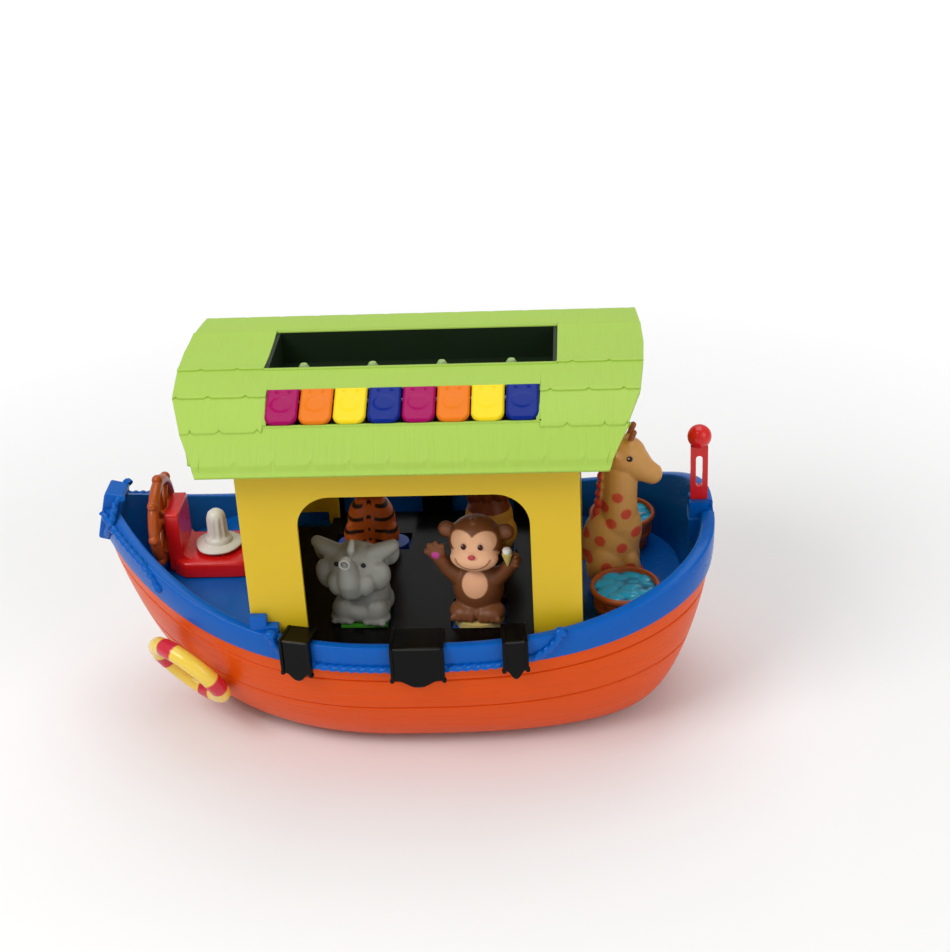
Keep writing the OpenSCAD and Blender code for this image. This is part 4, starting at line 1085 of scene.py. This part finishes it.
monkey_set = pair(4.9, -14.2, 56.4, (1.55, 0.9, 2.1), (62, 16, 14))
# painted highlight: a small white dot high in each eye, both shifted to one side
monkey_set += pair(4.9, -14.7, 57.7, (0.34, 0.3, 0.36), (236, 226, 220), -0.5, (7, 10))
monkey_set += [(*lump((0, -16.9, 50.4), (2.2, 1.3, 1.7)), (206, 74, 84))]
monkey_set += [(*cone((19.6, -10.6, 41.5), 9, 3.1), (216, 196, 112))]
monkey_set += [(*ball((19.6, -10.6, 52.6), (2.7, 2.7, 2.6), 13, 18), (244, 244, 240))]
figure("monkey", monkey_parts(), monkey_colours, monkey_set, (47, -41.5), -7, (1.03, 1, 0.93))

# %% [markdown]
# ## Giraffe
# It sits behind the cabin and looks aft. Round red spots cover the tan skin, and a row of red beads
# runs down the back of its neck.
# %% Giraffe
def giraffe_parts():
    """Built looking along -Y, as the others are, and turned when placed."""
    parts = [lump((0, 4, 24), (14, 18, 25)), lump((0, -4, 34), (11.5, 11.5, 19))]
    parts += [lump((0, -6, 84), (11.6, 12.5, 12))]
    parts += limb([(0, -1, 38), (0, -2, 56), (0, -3, 74)], [12.5, 10.8, 10.4], 10)
    parts += limb([(0, -10, 80), (0, -16, 74.5), (0, -21.5, 71)], [10.5, 7.8, 6.6], 9)
    for s in (-1, 1):
        parts += [lump((s * 8.5, -8, 10), (6, 6.4, 12)), lump((s * 10.5, 8, 13), (6.5, 11.5, 14))]
        parts += [lump((s * 10, -6, 3.4), (6, 8.5, 3.6))]
        parts += limb([(s * 4.6, -7, 92), (s * 5.2, -9, 97), (s * 5.4, -10.6, 101.5)], [2.8, 1.9, 2.2], 8)
        parts += [lump((s * 12, 0, 90), (5.4, 2.2, 3), -s * 30)]
        parts += [ball((s * 3, -26.6, 74), (1.2, 0.8, 0.9), 7, 10)]
    parts += limb([(0, 20, 14), (3, 24, 10), (4, 24, 4)], [2.2, 1.7, 2.4], 7)
    return parts + [ball((0, y, z), (3.6, 3.4, 3.2), 11, 16) for y, z in BEADS]


BEADS = ((11.6, 46), (10.6, 52), (9.8, 58), (9, 64), (8.4, 70), (8, 76), (7.6, 82), (6.6, 88))
SPOTS = ((-0.5, 60), (-5.6, 48.8), (3.6, 42.5), (-11.6, 35.2), (10.5, 31.3), (-2.8, 26.3), (18.3, 20),
         (19.9, 34), (8, 52), (7, 15), (-8, 13))


def giraffe_colours(p):
    """Tan with painted light, lighter higher up; round spots on both flanks, red beads on the mane, brown
    horns, dark mouth line.
    """
    x, y, z = p.T
    # painted light: lighter above 45 mm up, darker below
    c = flat(len(p), (206, 150, 80)) + np.clip((z[:, None] - 45) * 0.12, -8, 6)
    for u, v in SPOTS:
        c = blend_in(c, (204, 74, 48), soft(np.hypot(y - u, z - v) - 3.3) * (np.abs(x) > 2.5))
    c = blend_in(c, (196, 58, 40), soft(8.6 - y - (z - 74) * 0.07) * (np.abs(x) < 4.2) * (z > 42))
    c = blend_in(c, (150, 84, 48), soft(96.5 - z) * (y < 0))
    mouth = np.abs(z - 67.6 - 0.2 * (y + 18)) - 0.3
    return blend_in(c, (130, 80, 44), soft(mouth) * (y < -13))


giraffe_set = pair(11.1, -8, 86.8, (0.8, 1.9, 1.8), (34, 26, 20))
# painted highlight: a small pale dot high and forward in each eye
giraffe_set += pair(11.75, -7.4, 87.4, (0.3, 0.6, 0.6), (200, 190, 170), 0.0, (7, 10))
figure("giraffe", giraffe_parts(), giraffe_colours, giraffe_set, (131, -3), 90)

# %% [markdown]
# ## Tiger and lion
# The two cats sit on the far side and look outboard. They share one sitting body; stripes on one and
# a ring of mane locks on the other tell them apart.
# %% Cats
def cat_parts():
    """Body, head and chin; legs, paws, haunches, muzzle, ears and cheeks on both sides; a curled tail."""
    parts = [lump((0, 1, 17), (15.6, 15, 19)), lump((0, -2, 46), (16.2, 14.6, 15))]
    parts += [lump((0, -14, 38), (5.6, 4.6, 3.6))]
    for s in (-1, 1):
        parts += [lump((s * 8, -9, 8), (6.2, 6.6, 11)), lump((s * 8, -12, 3.2), (6, 6.6, 3.6))]
        parts += [lump((s * 11, 6, 9), (7, 9, 10)), lump((s * 4.2, -15, 41.5), (5.4, 5, 4.6))]
        parts += [lump((s * 11, 0.5, 58.5), (5.4, 3.2, 5.6), s * 18), lump((s * 10, -8, 41), (6, 6, 6))]
    parts += limb([(0, 14, 5), (7, 17, 6), (12, 13, 10), (13, 9, 17)], [2.8, 2.6, 2.5, 2.9], 15)
    return parts


def cat_front(p, c, pale):
    """Pale muzzle and chest, dark smile under the nose."""
    x, y, z = p.T
    c = blend_in(c, pale, soft((np.hypot(x / 9.8, (z - 40.6) / 6) - 1) * 6) * (y < -9))
    c = blend_in(c, pale, soft((np.hypot(x / 7.5, (z - 20) / 11) - 1) * 8) * (y < -8))
    smile = np.abs(z - 37.6 - 0.9 * np.abs(np.sin(x * 0.45))) - 0.3
    return blend_in(c, (70, 40, 26), soft(smile) * (np.abs(x) < 7) * (y < -14))


def tiger_colours(p):
    """Stripes are bands of a wavy height, kept off the front."""
    x, y, z = p.T
    c = cat_front(p, flat(len(p), (214, 104, 34)), (240, 214, 180))
    wave = np.sin(z * 0.78 + 1.1 * np.abs(np.sin(np.arctan2(x, y + 0.01) * 1.5)) * 3)
    band = soft(0.62 - wave, 0.12) * (np.hypot(x, y) > 6) * ((y > -7) | (z > 53))
    band = band * (np.abs(np.abs(x) - 1.5 - 0.04 * z) > 1.2)
    return blend_in(c, (36, 20, 14), band)


def lion_colours(p):
    """Gold with a red-brown mane ring round the face and a dark tail tip."""
    x, y, z = p.T
    c = cat_front(p, flat(len(p), (222, 164, 62)), (244, 214, 150))
    mane = soft(14.6 - np.hypot(x, z - 46)) * (y > -10) * (z > 25) + soft(3 - y) * (z > 29)
    c = blend_in(c, (132, 62, 28), mane)
    return blend_in(c, (132, 62, 28), dot(p, (13, 9, 17), 4.2))


cat_set = pair(5.6, -14.6, 49.5, (1.6, 1.0, 2.0), (26, 18, 14))
cat_set += [(*lump((0, -19.6, 44.6), (2.6, 1.6, 1.8)), (60, 30, 26))]


def mane_locks():
    """Three rings of leaf-shaped lumps round the head, each set back and turned half a step."""
    out = []
    for row, (n, r, y) in enumerate(((14, 16.2, -3.5), (14, 15.6, 2.5), (10, 11, 7.5))):
        for k in range(n):
            a = 2 * math.pi * (k + 0.5 * row) / n
            out.append(lump((r * math.sin(a), y, 46 + r * math.cos(a)), (3.6, 3.6, 5.2), math.degrees(a)))
    return out


figure("tiger", cat_parts(), tiger_colours, cat_set, (-26, 44), 180)
figure("lion", cat_parts() + mane_locks(), lion_colours, cat_set, (50, 44), 180)

# %% [markdown]
# ## Stage and light
# The toy stands on a pale sweep of floor. Big soft lamps light it from above and both sides at a
# plain level, so a colour shows about as it is written. To the camera the far floor and the world
# are plain white, while the light they cast stays weaker; the floor near the toy keeps its shadow.
# %% Stage
def floor():
    """A flat sheet that curves up behind: straight run, quarter circle, straight rise."""
    u = np.linspace(0, np.pi / 2, 24)
    y = np.concatenate([[-3000], 1500 + 600 * np.sin(u), [2100]])
    z = np.concatenate([[0], 600 - 600 * np.cos(u), [3000]])
    x = np.array([-4000.0, 4000.0])
    return xyz(x[None], y[:, None], z[:, None])


sweep_pts = floor()
stage_mesh = bpy.data.meshes.new("floor")
stage_mesh.from_pydata((sweep_pts.reshape(-1, 3) * MM).tolist(), [], grid_faces(*sweep_pts.shape[:2]))
stage_mesh.shade_smooth()
stage_floor = bpy.data.objects.new("floor", stage_mesh)
scene.collection.objects.link(stage_floor)
paper = bpy.data.materials.new("paper")
paper.use_nodes = True
tree = paper.node_tree
sheet = tree.nodes["Principled BSDF"]
where = add_node(tree, "ShaderNodeTexCoord").outputs["Object"]
far = add_node(tree, "ShaderNodeVectorMath", where, operation="LENGTH").outputs["Value"]
fade = add_node(tree, "ShaderNodeMapRange", far, 0.3, 0.75, interpolation_type="SMOOTHSTEP").outputs[0]
to_camera = add_node(tree, "ShaderNodeLightPath").outputs["Is Camera Ray"]
seen = add_node(tree, "ShaderNodeMath", fade, to_camera, operation="MULTIPLY").outputs[0]
PALE, BLACK, WHITE = [(v, v, v, 1) for v in (0.86, 0, 1)]
for target, near, away in (("Base Color", PALE, BLACK), ("Emission Color", BLACK, WHITE)):
    mix = add_node(tree, "ShaderNodeMix", data_type="RGBA")
    feed(tree, mix, {0: seen, 6: near, 7: away})
    feed(tree, sheet, {target: mix.outputs[2]})
feed(tree, sheet, {"Roughness": 0.9, "Emission Strength": 1.0})
stage_mesh.materials.append(paper)

world = bpy.data.worlds.new("studio")
world.use_nodes = True
sky = world.node_tree
to_camera = add_node(sky, "ShaderNodeLightPath").outputs["Is Camera Ray"]
level = add_node(sky, "ShaderNodeMath", to_camera, 0.55, 0.45, operation="MULTIPLY_ADD").outputs[0]
feed(sky, sky.nodes["Background"], {"Color": WHITE, "Strength": level})
scene.world = world


def lamp(name, place, aim, size, power):
    """A square area lamp at a place, turned to look at a point."""
    light = bpy.data.lights.new(name, "AREA")
    light.size = size
    light.energy = power
    obj = bpy.data.objects.new(name, light)
    scene.collection.objects.link(obj)
    place, aim = np.array(place, float), np.array(aim, float)
    back = (place - aim) / np.linalg.norm(place - aim)
    right = np.cross([0, 0, 1.0], back)
    right /= np.linalg.norm(right)
    m = np.eye(4)
    m[:3, :4] = np.stack([right, np.cross(back, right), back, place], -1)
    obj.matrix_world = Matrix(m.tolist())


lamp("key_light", (-0.9, -0.9, 1.5), (0, 0, 0.1), 0.9, 17)
lamp("fill_light", (1.3, -1.1, 1.0), (0, 0, 0.1), 1.2, 8)
lamp("top_light", (0.1, 0.5, 1.7), (0, 0, 0.1), 1.2, 10)

# %% [markdown]
# ## The photograph's view
# The camera's place, turn and lens were fitted to points of the toy read off the photograph, so that
# a render lies over it.
# %% Camera
lens = bpy.data.cameras.new("photo_view")
lens.lens = 69.09
lens.sensor_width = 36.0
camera = bpy.data.objects.new("photo_view", lens)
scene.collection.objects.link(camera)
pose = np.eye(4)
pose[:3] = [[0.9977, 0.0202, 0.0644, 0.117],
            [0.0472, 0.4733, -0.8796, -0.978],
            [-0.0482, 0.8807, 0.4712, 0.672]]
camera.matrix_world = Matrix(pose.tolist())
scene.camera = camera
